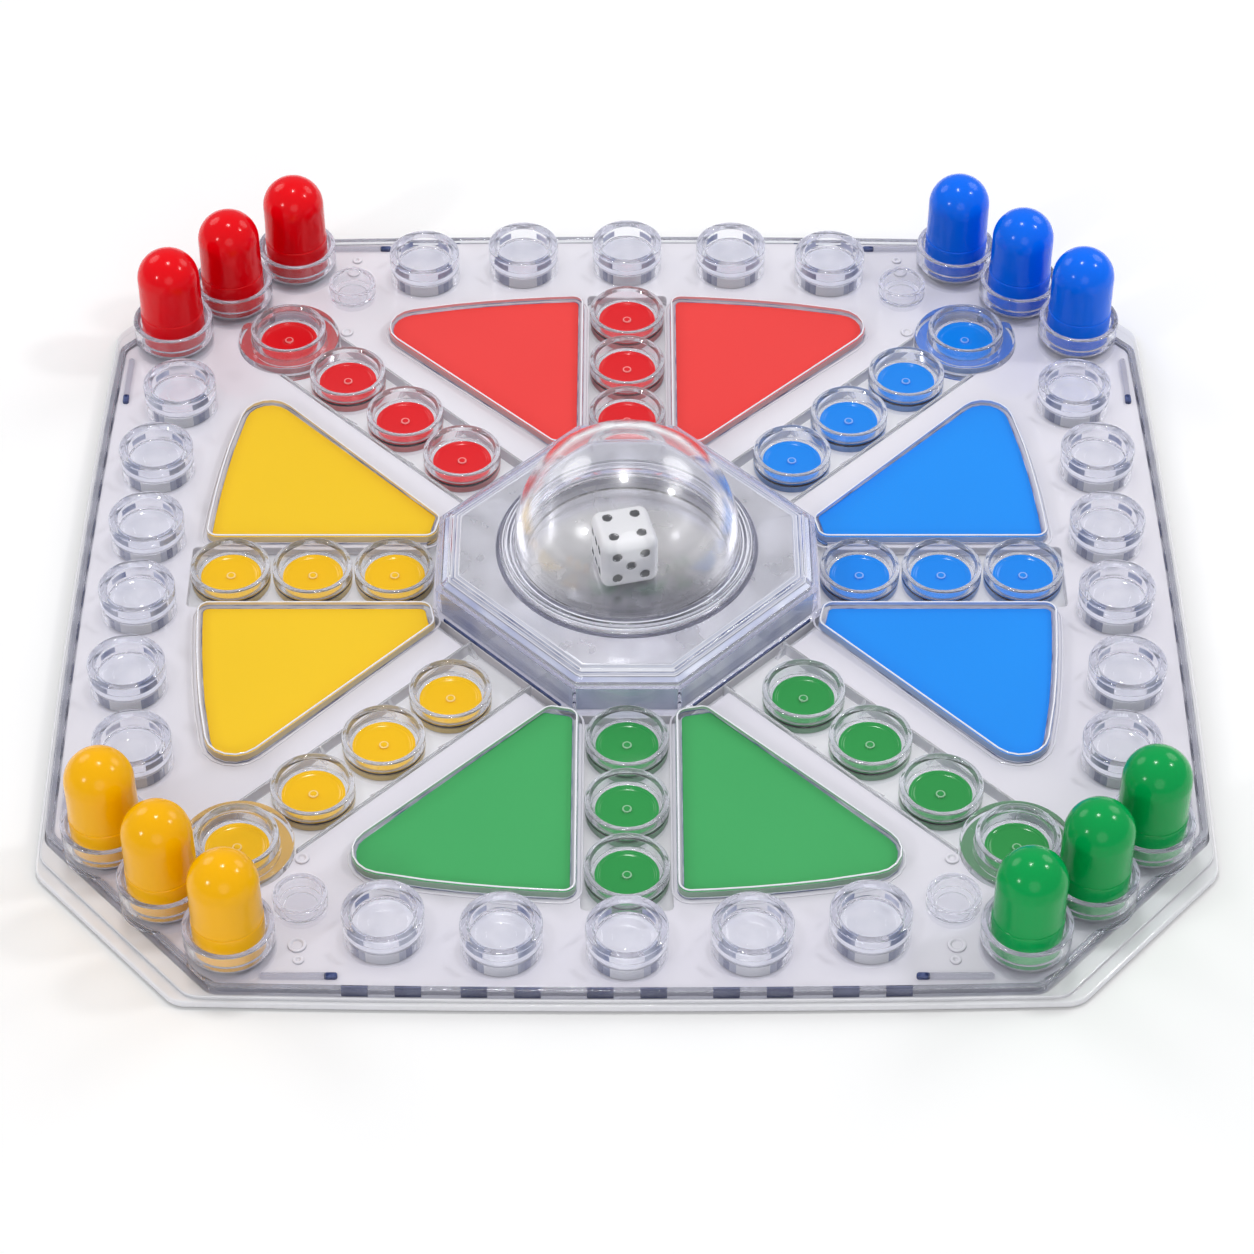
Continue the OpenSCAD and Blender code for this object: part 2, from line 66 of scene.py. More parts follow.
def roundCorners(points, radii, steps=4):
    # a corner with a radius gives way to the arc that touches both of its edges
    p = np.asarray(points, float)
    r = np.broadcast_to(np.asarray(radii, float), len(p))
    u, v = unitRows(np.roll(p, 1, 0) - p), unitRows(np.roll(p, -1, 0) - p)
    half = 0.5 * np.arccos(np.clip((u * v).sum(1), -1, 1))
    centre = p + unitRows(u + v) * (r / np.sin(half))[:, None]
    first = p + u * (r / np.tan(half))[:, None] - centre
    turn = -np.sign(u[:, 0] * v[:, 1] - u[:, 1] * v[:, 0]) * (math.pi - 2 * half)
    angle = turn[:, None] * np.linspace(0, 1, steps + 1)
    c, s = np.cos(angle), np.sin(angle)
    x = centre[:, :1] + first[:, :1] * c - first[:, 1:] * s
    y = centre[:, 1:] + first[:, :1] * s + first[:, 1:] * c
    keep = (r[:, None] > 0) | (np.arange(steps + 1) == 0)
    return np.stack([x[keep], y[keep]], -1)


def movedIn(line, depth):
    # every point of a closed anticlockwise outline goes inwards along its own normal
    along = unitRows(np.roll(line, -1, 0) - np.roll(line, 1, 0))
    return line + depth * np.stack([-along[:, 1], along[:, 0]], -1)


def level(line, z):
    # an outline's points at one height
    return np.column_stack([line, np.full(len(line), float(z))])


def circle(radius, n):
    # the radius times the cosine and the sine of even steps round
    a = 2 * math.pi * np.arange(n) / n
    return radius * np.stack([np.cos(a), np.sin(a)], -1)


def rectangle(x0, x1, y0, y1):
    return [(x0, y0), (x1, y0), (x1, y1), (x0, y1)]


def fourWays(x, y):
    # a place and its mirror images across both axes
    return [(sx * x, sy * y, 0) for sx in (-1, 1) for sy in (-1, 1)]


def outward(shape):
    # a closed shape whose volume comes out negative has its faces turned round
    points, corners, sizes = shape
    start = np.repeat(np.cumsum(sizes) - sizes, sizes)
    size = np.repeat(sizes, sizes)
    place = np.arange(len(corners)) - start
    following = corners[start + (place + 1) % size]
    a, b, c = points[corners[start]], points[corners], points[following]
    if np.einsum("ij,ij->", a, np.cross(b, c)) < 0:
        corners = corners[start + size - 1 - place]
    return points, corners, sizes


def loft(rows, ring=False):
    # quads from each row of points to the next; both ends get a flat face, or join up as a ring
    p = np.asarray(rows, float)
    m, n = p.shape[:2]
    i, j = np.meshgrid(np.arange(m if ring else m - 1), np.arange(n), indexing="ij")
    k, l = (i + 1) % m, (j + 1) % n
    quads = np.stack([i * n + j, i * n + l, k * n + l, k * n + j], -1).reshape(-1, 4)
    corners, sizes = [quads.ravel()], [np.full(len(quads), 4)]
    if not ring:
        corners += [np.arange(n)[::-1], np.arange((m - 1) * n, m * n)]
        sizes += [np.array([n, n])]
    return outward((p.reshape(-1, 3), np.concatenate(corners), np.concatenate(sizes)))


def joined(*shapes):
    # the later shapes' corners count on from the points before them
    first = np.cumsum([0] + [len(s[0]) for s in shapes[:-1]])
    return (np.concatenate([s[0] for s in shapes]),
            np.concatenate([s[1] + k for s, k in zip(shapes, first)]),
            np.concatenate([s[2] for s in shapes]))


def copies(shape, places):
    # the same shape again at every place, given as rows of x, y, z
    points, corners, sizes = shape
    at = np.asarray(places, float)
    return ((points[None] + at[:, None]).reshape(-1, 3),
            (corners[None] + len(points) * np.arange(len(at))[:, None]).ravel(),
            np.tile(sizes, len(at)))


def turned(shape, degrees, mirror=False):
    # about the upright axis, and first across the Y axis where mirror is set
    c, s = math.cos(math.radians(degrees)), math.sin(math.radians(degrees))
    flip = -1 if mirror else 1
    turn = np.array([[c * flip, -s, 0], [s * flip, c, 0], [0, 0, 1]])
    return outward((shape[0] @ turn.T, shape[1], shape[2]))


def onDiagonals(shape):
    # four copies, a quarter turn apart
    return joined(*[turned(shape, 45 + 90 * k) for k in range(4)])


def moved(shape, x, y):
    return shape[0] + np.array([x, y, 0]), shape[1], shape[2]


def lathe(profile, ring=False, n=72):
    # a profile of (radius, height) carried round the upright axis
    p = np.asarray(profile, float)
    a = 2 * math.pi * np.arange(n) / n
    rows = np.stack([p[:, :1] * np.cos(a), p[:, :1] * np.sin(a), np.repeat(p[:, 1:], n, 1)], -1)
    return loft(rows, ring)


def arc(section, middle, half):
    # a section of (radius, height) carried round part of a circle, in degrees
    a, q = np.radians(middle + np.linspace(-half, half, 9)), np.asarray(section, float)
    x, y = np.outer(np.cos(a), q[:, 0]), np.outer(np.sin(a), q[:, 0])
    return loft(np.stack(np.broadcast_arrays(x, y, q[:, 1]), -1))


def turnedProfile(points, radii, steps=4):
    # rounds the inner corners of an open profile and keeps its two ends
    p = np.asarray(points, float)
    r = np.concatenate([[0], np.asarray(radii, float)[1:-1], [0]])
    return roundCorners(p, r, steps)


def alongOutline(line, section, ring=False):
    # a section of (distance inwards, height) carried along an outline
    return loft([level(movedIn(line, d), z) for d, z in section], ring)


def plate(outline, holes, low, high, edge, steps=3):
    # a flat plate with holes and rounded edges: a rim along each loop, and both faces filled between
    loops = [outline] + [h[::-1] for h in holes]
    t = np.linspace(0, math.pi / 2, steps + 1)
    section = np.concatenate([
        np.stack([edge * (1 - np.sin(t)), high - edge * (1 - np.cos(t))], -1),
        np.stack([edge * (1 - np.cos(t)), low + edge * (1 - np.sin(t))], -1)])
    rims = []
    for loop in loops:
        rows = np.array([level(movedIn(loop, d), z) for d, z in section])
        m, n = rows.shape[:2]
        i, j = np.meshgrid(np.arange(m - 1), np.arange(n), indexing="ij")
        k = (j + 1) % n
        quads = np.stack([i * n + j, (i + 1) * n + j, (i + 1) * n + k, i * n + k], -1)
        rims.append((rows.reshape(-1, 3), quads.ravel(), np.full((m - 1) * n, 4)))
    sides = joined(*rims)
    edges = [[Vector(p) for p in rim[0][:len(loop)]] for rim, loop in zip(rims, loops)]
    filled = np.array(tessellate_polygon(edges))
    firsts = np.cumsum([0] + [len(rim[0]) for rim in rims[:-1]])
    top = np.concatenate([f + np.arange(len(loop)) for f, loop in zip(firsts, loops)])
    under = np.concatenate([f + len(rim[0]) - len(loop) + np.arange(len(loop))
                            for f, rim, loop in zip(firsts, rims, loops)])
    up = top[filled]
    a, b, c = (sides[0][up[:, k], :2] for k in range(3))
    facing = (b - a)[:, 0] * (c - a)[:, 1] - (b - a)[:, 1] * (c - a)[:, 0]
    filled = np.where(facing[:, None] < 0, filled[:, ::-1], filled)
    corners = np.concatenate([sides[1], top[filled].ravel(), under[filled[:, ::-1]].ravel()])
    sizes = np.concatenate([sides[2], np.full(2 * len(filled), 3)])
    return outward((sides[0], corners, sizes))


def makePiece(name, shape, look, node, body="board", sharp=40):
    # the shape's arrays become a smooth shaded mesh in metres, which rides its body for its node
    points, corners, sizes = shape
    mesh = bpy.data.meshes.new(name)
    mesh.vertices.add(len(points))
    mesh.vertices.foreach_set("co", (points * mm).astype(np.float32).ravel())
    mesh.loops.add(len(corners))
    mesh.loops.foreach_set("vertex_index", corners.astype(np.int32))
    mesh.polygons.add(len(sizes))
    mesh.polygons.foreach_set("loop_start", (np.cumsum(sizes) - sizes).astype(np.int32))
    mesh.polygons.foreach_set("loop_total", sizes.astype(np.int32))
    mesh.polygons.foreach_set("use_smooth", np.ones(len(sizes), bool))
    mesh.update(calc_edges=True)
    mesh.set_sharp_from_angle(angle=math.radians(sharp))
    mesh.materials.append(finishes[look])
    obj = bpy.data.objects.new(name, mesh)
    scene.collection.objects.link(obj)
    even = obj.modifiers.new("evenShading", "WEIGHTED_NORMAL")    # flat faces stay flat beside round edges
    even.keep_sharp = True
    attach(obj, body)
    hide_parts(node)
    return obj


def mountsNamed(start):
    # where the sockets' mounts stand, at height 0
    return np.array([np.array(m["pos_m"][:2] + [0]) / mm
                     for m in frame["record"]["mounts"] if m["name"].startswith(start)])


def middleOf(node):
    # the middle of a node's box, at height 0
    low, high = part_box(node)
    return np.array([(low.x + high.x) / 2, (low.y + high.y) / 2, 0]) / mm


sides = ["red", "blue", "green", "yellow"]    # clockwise from the far side, a quarter turn each
pegNodes = [f"peg_{c}_{i}" for c in sides for i in (1, 2, 3)]
cornerPlaces = np.array([middleOf(n) for n in pegNodes])
trackPlaces = mountsNamed("track_socket")
lanePlaces = mountsNamed("lane_socket")
diagonalPlaces = mountsNamed("diagonal_socket")
startPlaces = mountsNamed("start_socket")
height = {
    "deck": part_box("track_sockets")[0].z / mm,
    "frame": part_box("edge_frame")[1].z / mm,
    "flange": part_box("base_tray")[1].z / mm,
    "housing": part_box("foil_plate")[1].z / mm + 1.4,
    "dieFloor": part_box("die_floor")[1].z / mm,
}
bond = 0.05    # a clear piece reaches this far into what it stands on, so no film of air mirrors there


def added(tree, kind, inputs, **settings):
    # a new node with its settings; an input is given as a value, or as the output that feeds it
    node = tree.nodes.new("ShaderNode" + kind)
    for name, value in settings.items():
        setattr(node, name, value)
    for name, value in inputs.items():
        if isinstance(value, bpy.types.NodeSocket):
            tree.links.new(value, node.inputs[name])
        else:
            node.inputs[name].default_value = value
    return node


def noiseOn(tree, scale, detail=2.0, stretch=(1, 1, 1)):
    # noise over the object's own coordinates, each times its stretch
    place = added(tree, "TexCoord", {}).outputs["Object"]
    place = added(tree, "Mapping", {"Scale": stretch, "Vector": place}).outputs["Vector"]
    return added(tree, "TexNoise", {"Scale": scale, "Detail": detail, "Vector": place}).outputs["Fac"]


def ranged(tree, value, low, high):
    # the noise's usual span, 0.3 to 0.7, becomes low to high
    span = {"From Min": 0.3, "From Max": 0.7, "To Min": low, "To Max": high, "Value": value}
    return added(tree, "MapRange", span).outputs["Result"]


def blended(tree, value, first, second):
    # the first tone where the value is 0, the second where it is 1
    tones = {"A": (*first, 1), "B": (*second, 1), "Factor": value}
    return added(tree, "Mix", tones, data_type="RGBA").outputs["Result"]


def slanted(tree, value, reach):
    # adds -y / reach, with reach in metres, and keeps the sum from 0 to 1
    place = added(tree, "TexCoord", {}).outputs["Object"]
    y = added(tree, "SeparateXYZ", {"Vector": place}).outputs["Y"]
    terms = {0: y, 1: -1 / reach, 2: value}
    return added(tree, "Math", terms, operation="MULTIPLY_ADD", use_clamp=True).outputs["Value"]


def finish(name, look):
    # one Principled shader: a colour that drifts between two tones, uneven gloss and a faint ripple
    made = bpy.data.materials.new(name)
    made.use_nodes = True
    tree = made.node_tree
    shader = tree.nodes["Principled BSDF"]
    for socket, value in look.get("constants", {}).items():
        shader.inputs[socket].default_value = value
    drift = noiseOn(tree, look.get("driftScale", 30), 2, look.get("driftStretch", (1, 1, 1)))
    drift = ranged(tree, drift, 0, 1)
    # painted shade: the darker other tone takes over towards the front, as if less light fell there
    if "fromBack" in look:    # the share of the other tone also grows towards the front
        drift = slanted(tree, drift, look["fromBack"])
    tree.links.new(blended(tree, drift, look["tone"], look["otherTone"]), shader.inputs["Base Color"])
    gloss = noiseOn(tree, look.get("glossScale", 90), 3)
    tree.links.new(ranged(tree, gloss, *look["roughness"]), shader.inputs["Roughness"])
    ripple = noiseOn(tree, look.get("rippleScale", 60), 2, look.get("stretch", (1, 1, 1)))
    bump = added(tree, "Bump", {"Distance": look.get("ripple", 0.02) * mm, "Height": ripple})
    tree.links.new(bump.outputs["Normal"], shader.inputs["Normal"])
    if "shade" in look:
        letThrough(tree, shader, look["shade"])
    if "depth" in look:    # long ways through the plastic turn slate blue
        tint = added(tree, "VolumeAbsorption", {"Color": (0.66, 0.71, 0.90, 1), "Density": look["depth"]})
        tree.links.new(tint.outputs[0], tree.nodes["Material Output"].inputs["Volume"])
    return made


def letThrough(tree, shader, shade):
    # light that falls on what lies behind clear plastic passes it straight, a little dimmed
    path = added(tree, "LightPath", {})
    straight = added(tree, "BsdfTransparent", {"Color": (*shade, 1)}).outputs[0]
    source = shader.outputs[0]
    for ray in ("Is Diffuse Ray", "Is Shadow Ray"):
        source = added(tree, "MixShader", {0: path.outputs[ray], 1: source, 2: straight}).outputs[0]
    tree.links.new(source, tree.nodes["Material Output"].inputs["Surface"])


def clearLook(tone, otherTone, clear=1.0, ior=1.49, roughness=(0.0, 0.03), ripple=0.01,
              shade=(0.96, 0.96, 0.975), glow=0.0, **more):
    # glow is a rough coat, which spreads the lamps' highlights
    constants = {"Transmission Weight": clear, "IOR": ior, "Coat Weight": glow, "Coat Roughness": 0.24}
    return {"tone": tone, "otherTone": otherTone, "roughness": roughness, "ripple": ripple, "shade": shade,
            "constants": constants, **more}


def glossLook(tone, otherTone, roughness=(0.12, 0.2), ripple=0.012, shine=0.4, **more):
    return {"tone": tone, "otherTone": otherTone, "roughness": roughness, "ripple": ripple,
            "constants": {"IOR": 1.5, "Specular IOR Level": shine}, **more}


def cardLook(tone, otherTone):
    return {"tone": tone, "otherTone": otherTone, "roughness": (0.4, 0.55), "ripple": 0.01,
            "rippleScale": 900, "driftScale": 18, "constants": {"Specular IOR Level": 0.1}}


def shadeLook(tone, otherTone, scale, upright=0.08, roughness=(0.1, 0.25)):
    # a lining behind clear plastic, mostly painted shade and painted highlights seen through it; upright
    # under 1 draws its drift out up the wall
    return {"tone": tone, "otherTone": otherTone, "driftScale": scale, "driftStretch": (1, 1, upright),
            "roughness": roughness}


def metalLook(tone, otherTone, roughness=(0.25, 0.4), **more):
    return {"tone": tone, "otherTone": otherTone, "roughness": roughness,
            "constants": {"Metallic": 1.0}, **more}


def lightened(tones, least, share):
    # each channel starts from the least value and adds that share of the tone
    return [tuple(least + share * v for v in tone) for tone in tones]


looks = {
    "trayClear": clearLook((0.98, 0.975, 1.0), (0.94, 0.94, 0.98), 0.14, 1.4, shade=(0.22, 0.22, 0.25)),
    # the deck's tone also darkens towards the front: painted shade
    "deckClear": clearLook((0.88, 0.86, 0.92), (0.82, 0.80, 0.875), 0.12, 1.45, (0.03, 0.08), 0.006,
                           (0.8, 0.8, 0.82), driftScale=5, fromBack=0.3),
    "frameClear": clearLook((0.97, 0.97, 1.0), (0.95, 0.96, 1.0), 0.95, shade=(0.55, 0.55, 0.6), depth=24),
    "railClear": clearLook((0.97, 0.97, 1.0), (0.94, 0.945, 1.0), 0.7, shade=(0.95, 0.95, 0.96)),
    "cupClear": clearLook((0.985, 0.985, 1.0), (0.97, 0.975, 1.0), 0.95, shade=(0.96, 0.96, 0.97), depth=24),
    "windowClear": clearLook((0.99, 0.99, 1.0), (0.975, 0.98, 1.0), 1.0, 1.42, ripple=0.003),
    "housingClear": clearLook((0.98, 0.98, 1.0), (0.95, 0.96, 1.0), depth=30),
    "domeClear": clearLook((0.99, 0.99, 1.0), (0.98, 0.98, 1.0), 1.0, 1.4, (0.0, 0.01), 0.002, glow=1.0),
    # linings that paint the shade and highlights seen in the clear plastic: slate, wall, band and bevel are
    # painted shade, pale is painted highlight; the socket floor is a pale plate
    "slatePaintedShade": shadeLook((0.12, 0.16, 0.34), (0.72, 0.74, 0.86), 150),
    "wallPaintedShade": shadeLook((0.46, 0.50, 0.72), (0.92, 0.94, 1.0), 60),
    "bandPaintedShade": shadeLook((0.04, 0.06, 0.20), (0.26, 0.29, 0.48), 110),
    "bevelPaintedShade": shadeLook((0.52, 0.53, 0.62), (0.76, 0.77, 0.85), 50, 1, (0.15, 0.3)),
    "socketFloor": shadeLook((0.80, 0.79, 0.86), (0.70, 0.70, 0.78), 160, 1),
    "palePaintedHighlight": shadeLook((0.95, 0.95, 0.98), (0.88, 0.88, 0.94), 90, 1),
    # navy is the frame bars' dark knobs, and painted shadow at the foot of the housing
    "navyKnobAndPaintedShadow": shadeLook((0.03, 0.05, 0.16), (0.10, 0.13, 0.30), 900, 1, (0.08, 0.2)),
    "foil": metalLook((0.86, 0.85, 0.88), (0.78, 0.77, 0.80), ripple=0.03),
    # painted reflections and painted shade: the die floor's tone drifts into dark patches and darkens towards
    # the front
    "mirror": metalLook((0.97, 0.96, 0.97), (0.30, 0.30, 0.33), (0.2, 0.3), driftScale=24, fromBack=0.05,
                        ripple=0.1, rippleScale=30),
    "springSteel": metalLook((0.5, 0.5, 0.52), (0.4, 0.4, 0.42), ripple=0.02, rippleScale=400,
                             stretch=(0.1, 1, 1)),
    "dieWhite": glossLook((0.90, 0.90, 0.90), (0.86, 0.86, 0.87)),
    "pipBlack": glossLook((0.012, 0.014, 0.02), (0.02, 0.022, 0.03), (0.25, 0.4)),
}
paint = {
    "red": {"card": ((0.93, 0.056, 0.051), (0.90, 0.050, 0.046)),
            "disc": ((0.80, 0.012, 0.018), (0.74, 0.010, 0.016)),
            "peg": ((0.90, 0.0, 0.006), (0.84, 0.0, 0.005))},
    "blue": {"card": ((0.003, 0.30, 0.96), (0.003, 0.285, 0.93)),
             "disc": ((0.008, 0.26, 0.90), (0.006, 0.24, 0.86)),
             "peg": ((0.0, 0.17, 1.0), (0.0, 0.155, 0.94))},
    "green": {"card": ((0.055, 0.43, 0.125), (0.050, 0.41, 0.118)),
              "disc": ((0.028, 0.33, 0.075), (0.025, 0.30, 0.068)),
              "peg": ((0.0, 0.37, 0.08), (0.0, 0.34, 0.072))},
    "yellow": {"card": ((0.98, 0.62, 0.008), (0.95, 0.60, 0.007)),
               "disc": ((0.95, 0.55, 0.004), (0.92, 0.52, 0.003)),
               "peg": ((1.0, 0.50, 0.0), (0.96, 0.47, 0.0))},
}
for c in sides:
    looks["card_" + c] = cardLook(*paint[c]["card"])
    looks["disc_" + c] = glossLook(*paint[c]["disc"], roughness=(0.1, 0.2))
    # light tones of each colour as painted light: refraction of the disc in its cup's foot with a highlight
    # ring on its nub, and refraction of the card in the window wall
    looks["footAndNubPaintedLight_" + c] = glossLook(*lightened(paint[c]["card"], 0.25, 0.75))
    looks["edge_" + c] = glossLook(*lightened(paint[c]["card"], 0.42, 0.55))
    looks["tint_" + c] = clearLook(*lightened(paint[c]["disc"], 0.03, 0.97), 0.5, 1.3, (0.03, 0.15))
    looks["peg_" + c] = glossLook(*paint[c]["peg"], roughness=(0.13, 0.18), shine=0.24)
finishes = {name: finish(name, look) for name, look in looks.items()}
print("finishes:", len(finishes))


board = {"halfX": 145.5, "halfY": 142.5, "cutFromY": 102, "cutFromX": 108, "bow": 1.5, "ledgeSide": 1.8,
         "ledgeCorner": 8, "lip": 1.6, "floorTop": 1.2, "trayLedge": 4}


def boardLine(sideIn, cornerIn, radius):
    # the sides bow out as a parabola, and the cut corners lie at a set distance inside the board's own
    hx, hy = board["halfX"] - sideIn, board["halfY"] - sideIn
    n = unitRows(np.array([board["halfY"] - board["cutFromY"], board["halfX"] - board["cutFromX"]]))
    reach = n @ [board["halfX"], board["cutFromY"]] - cornerIn
    cy, cx = (reach - n[0] * hx) / n[1], (reach - n[1] * hy) / n[0]
    t = np.linspace(-0.875, 0.875, 15)
    bow = board["bow"] * (1 - t * t)
    right, far = np.stack([hx + bow, t * cy], -1), np.stack([-t * cx, hy + bow], -1)
    line = np.concatenate([[[hx, -cy]], right, [[hx, cy], [cx, hy]], far, [[-cx, hy], [-hx, cy]], -right,
                           [[-hx, -cy], [-cx, -hy]], -far, [[cx, -hy]]])
    radii = np.tile(np.concatenate([[radius], np.zeros(len(t)), [radius]]), 4)
    return roundCorners(line, radii, 6)


def makeTray():
    # the wall, the ridge and the step down to the floor are sections along outlines, each further in
    ridge = {"side": 0.95, "corner": 3.1, "backSide": 1.45, "backCorner": 7.2, "high": 1.1}
    outer = boardLine(0, 0, 7)
    inner = boardLine(board["ledgeSide"] + board["trayLedge"], board["ledgeCorner"] + board["trayLedge"], 4)
    foot = boardLine(ridge["side"], ridge["corner"], 6.5)
    back = boardLine(ridge["backSide"], ridge["backCorner"], 5.2)
    top, crest, floor = height["flange"], height["flange"] + ridge["high"], board["floorTop"]
    wall = turnedProfile([(1, 0), (0, 0), (0, top), (0.5, top)], [0, 0.35, 0.5, 0])
    up = turnedProfile([(-0.3, top), (0, top), (0, crest), (0.25, crest)], [0, 0.1, 0.3, 0])
    down = turnedProfile([(-0.2, crest), (0, crest), (0.15, top), (0.3, top)], [0, 0.15, 0.05, 0])
    step = turnedProfile([(-0.6, top), (0, top), (0, floor), (0.6, floor)], [0, 0.3, 0.2, 0])
    rows = [level(movedIn(line, d), z)
            for line, section in ((outer, wall), (foot, up), (back, down), (inner, step)) for d, z in section]
    makePiece("clearTray", loft(rows), "trayClear", "base_tray")


def makeEdgeFrame():
    # a lip along the board's outline, and eight upright bars with dark ends, mirrored and turned into place
    bars = {"from": 70.5, "half": 8.5, "width": 1.6, "gap": 1.4, "end": 3.2}
    low, high, lip = height["flange"] - bond, height["frame"], board["lip"]
    inset = board["ledgeSide"] + lip + bars["gap"] + bars["width"] / 2

    def bar(half, side, foot):
        # stands from its foot up to the frame's top
        section = turnedProfile([(0.3, foot), (0, foot), (0, high), (0.5, high)], [0, 0, 0.35, 0])
        return alongOutline(roundCorners(rectangle(-half, half, -side, side), 0.7), section)

    stick = bar(bars["half"], bars["width"] / 2, height["deck"] - bond)
    end = bar(bars["end"] / 2, bars["width"] / 2 + 0.05, height["deck"])
    section = roundCorners(rectangle(0, lip, low, high), [0.02, 0.02, 0.45, 0.55])
    frameShapes = [alongOutline(boardLine(board["ledgeSide"], board["ledgeCorner"], 5), section, ring=True)]
    ends = []
    kinds = ((frameShapes, stick, bars["from"] + bars["half"]), (ends, end, bars["from"]))
    for flip in (False, True):
        for degrees in (0, 180):
            for shapes, one, at in kinds:
                shapes += [turned(moved(one, at, board["halfY"] - inset), degrees, flip),
                           turned(moved(turned(one, 90), board["halfX"] - inset, at), degrees, flip)]
    makePiece("frameBarEnds", joined(*ends), "navyKnobAndPaintedShadow", "edge_frame")
    makePiece("clearEdgeFrame", joined(*frameShapes), "frameClear", "edge_frame")


channel = {"laneHalf": 11.3, "laneEnd": 116, "diagonalHalf": 11.65, "collar": 14.4,
           "start": 96 * math.sqrt(2), "reach": 50, "face": 13.8, "plinth": 0.8, "groove": 2.7}


def housingLine(inset):
    # an octagon with four faces on the axes and four on the diagonals, each the same distance in
    a = channel["reach"] - inset
    b = channel["reach"] + channel["face"] - inset * math.sqrt(2) - a
    return np.array([(a, -b), (a, b), (b, a), (-b, a), (-a, b), (-a, -b), (-b, -a), (b, -a)])


def channelLine():
    # the groove round the housing, with a lane along each axis and a diagonal that ends in a round
    a = channel["reach"] + channel["plinth"] + channel["groove"]
    slant = (channel["reach"] + channel["face"]) / math.sqrt(2) + channel["plinth"] + channel["groove"]
    w, d, r = channel["laneHalf"], channel["diagonalHalf"], channel["collar"]
    lane = np.array([(a, -w), (channel["laneEnd"], -w), (channel["laneEnd"], w), (a, w)])
    opening = math.pi - math.asin(d / r)
    t = np.linspace(-opening, opening, 33)
    ring = np.stack([channel["start"] + r * np.cos(t), r * np.sin(t)], -1)
    diagonal = np.concatenate([[(slant, -d)], ring, [(slant, d)]])
    corner = math.sqrt(2) * slant - a
    points, radii = [], []
    for k in range(4):
        turn = np.array([[math.cos(k * math.pi / 2), math.sin(k * math.pi / 2)],
                         [-math.sin(k * math.pi / 2), math.cos(k * math.pi / 2)]])
        slantTurn = np.array([[1, 1], [-1, 1]]) / math.sqrt(2)
        points += [lane @ turn, [np.array([a, corner]) @ turn], diagonal @ slantTurn @ turn,
                   [np.array([corner, a]) @ turn]]
        radii += [[0.8, 1.2, 1.2, 0.8], [0.6], [0.6, 0.8], np.zeros(31), [0.8, 0.6], [0.6]]
    return roundCorners(np.concatenate(points), np.concatenate(radii), 3)


panel = {"axisGap": 13.9, "diagonalGap": 21, "reach": 111.5, "bend": 320, "innerY": 51.4, "innerCut": 7.6,
         "innerRise": 1.6, "tipRadius": 6.5, "cornerRadius": 1.6, "thick": 0.5, "window": 3.2, "border": 1.6}


def panelLine(out):
    # beside the +Y axis, on its +X side; the outer edge is a shallow parabola that ends at the slanted side
    x0, gap = panel["axisGap"] - out, (panel["diagonalGap"] - out) * math.sqrt(2)
    reach, inner, bend = panel["reach"] + out, panel["innerY"] - out, panel["bend"]
    tip = bend * (math.sqrt(1 + 2 * (reach - gap) / bend) - 1)
    x = tip + (x0 - tip) * np.array([0, 3 / 7, 4 / 7, 5 / 7, 6 / 7, 1])
    edge = np.stack([x, reach - x * x / (2 * bend)], -1)
    line = np.concatenate([[(x0, inner + panel["innerRise"]), (x0 + panel["innerCut"], inner)], edge])
    corner = panel["cornerRadius"] + out
    return roundCorners(line, [corner, corner, panel["tipRadius"] + out, 0, 0, 0, 0, corner], 6)


def makeDeck():
    # two flat plates round the channels, the popper's plinth in the middle, ring bosses and panel ridges
    inset, ledge = board["lip"] + 0.05, board["trayLedge"] + 0.1
    low, high, floor = height["flange"], height["deck"], board["floorTop"] + 0.02
    outer = boardLine(board["ledgeSide"] + inset + 0.3, board["ledgeCorner"] + inset + 0.3, 4)
    inner = boardLine(board["ledgeSide"] + ledge, board["ledgeCorner"] + ledge, 4)
    shapes = [plate(outer, [channelLine()], low + 0.02, high, 0.3),
              plate(inner, [channelLine()], floor, low + 0.02, 0.05),
              plate(housingLine(-channel["plinth"] - 0.3), [], floor, high, 0.2)]
    for x, y, r in ((79.2, 127.2, 2.3), (78.6, 131.8, 1.4), (79.8, 99.6, 1.8)):    # small ring bosses
        section = turnedProfile([(r - 1.1, high + 0.2), (r - 0.7, high + 0.6), (r, high + 0.6),
                                 (r, high - 0.1), (r - 1, high - 0.1)], [0, 0.2, 0.25, 0, 0])
        shapes.append(copies(lathe(section, n=32), fourWays(x, y)))
    section = roundCorners(rectangle(0, 0.6, high - 0.1, high + 0.25), [0.02, 0.02, 0.2, 0.2], 2)
    ridge = alongOutline(panelLine(3.1), section, ring=True)
    shapes += [turned(ridge, 90 * k, flip) for k in range(4) for flip in (False, True)]
    makePiece("clearDeck", joined(*shapes), "deckClear", "deck")


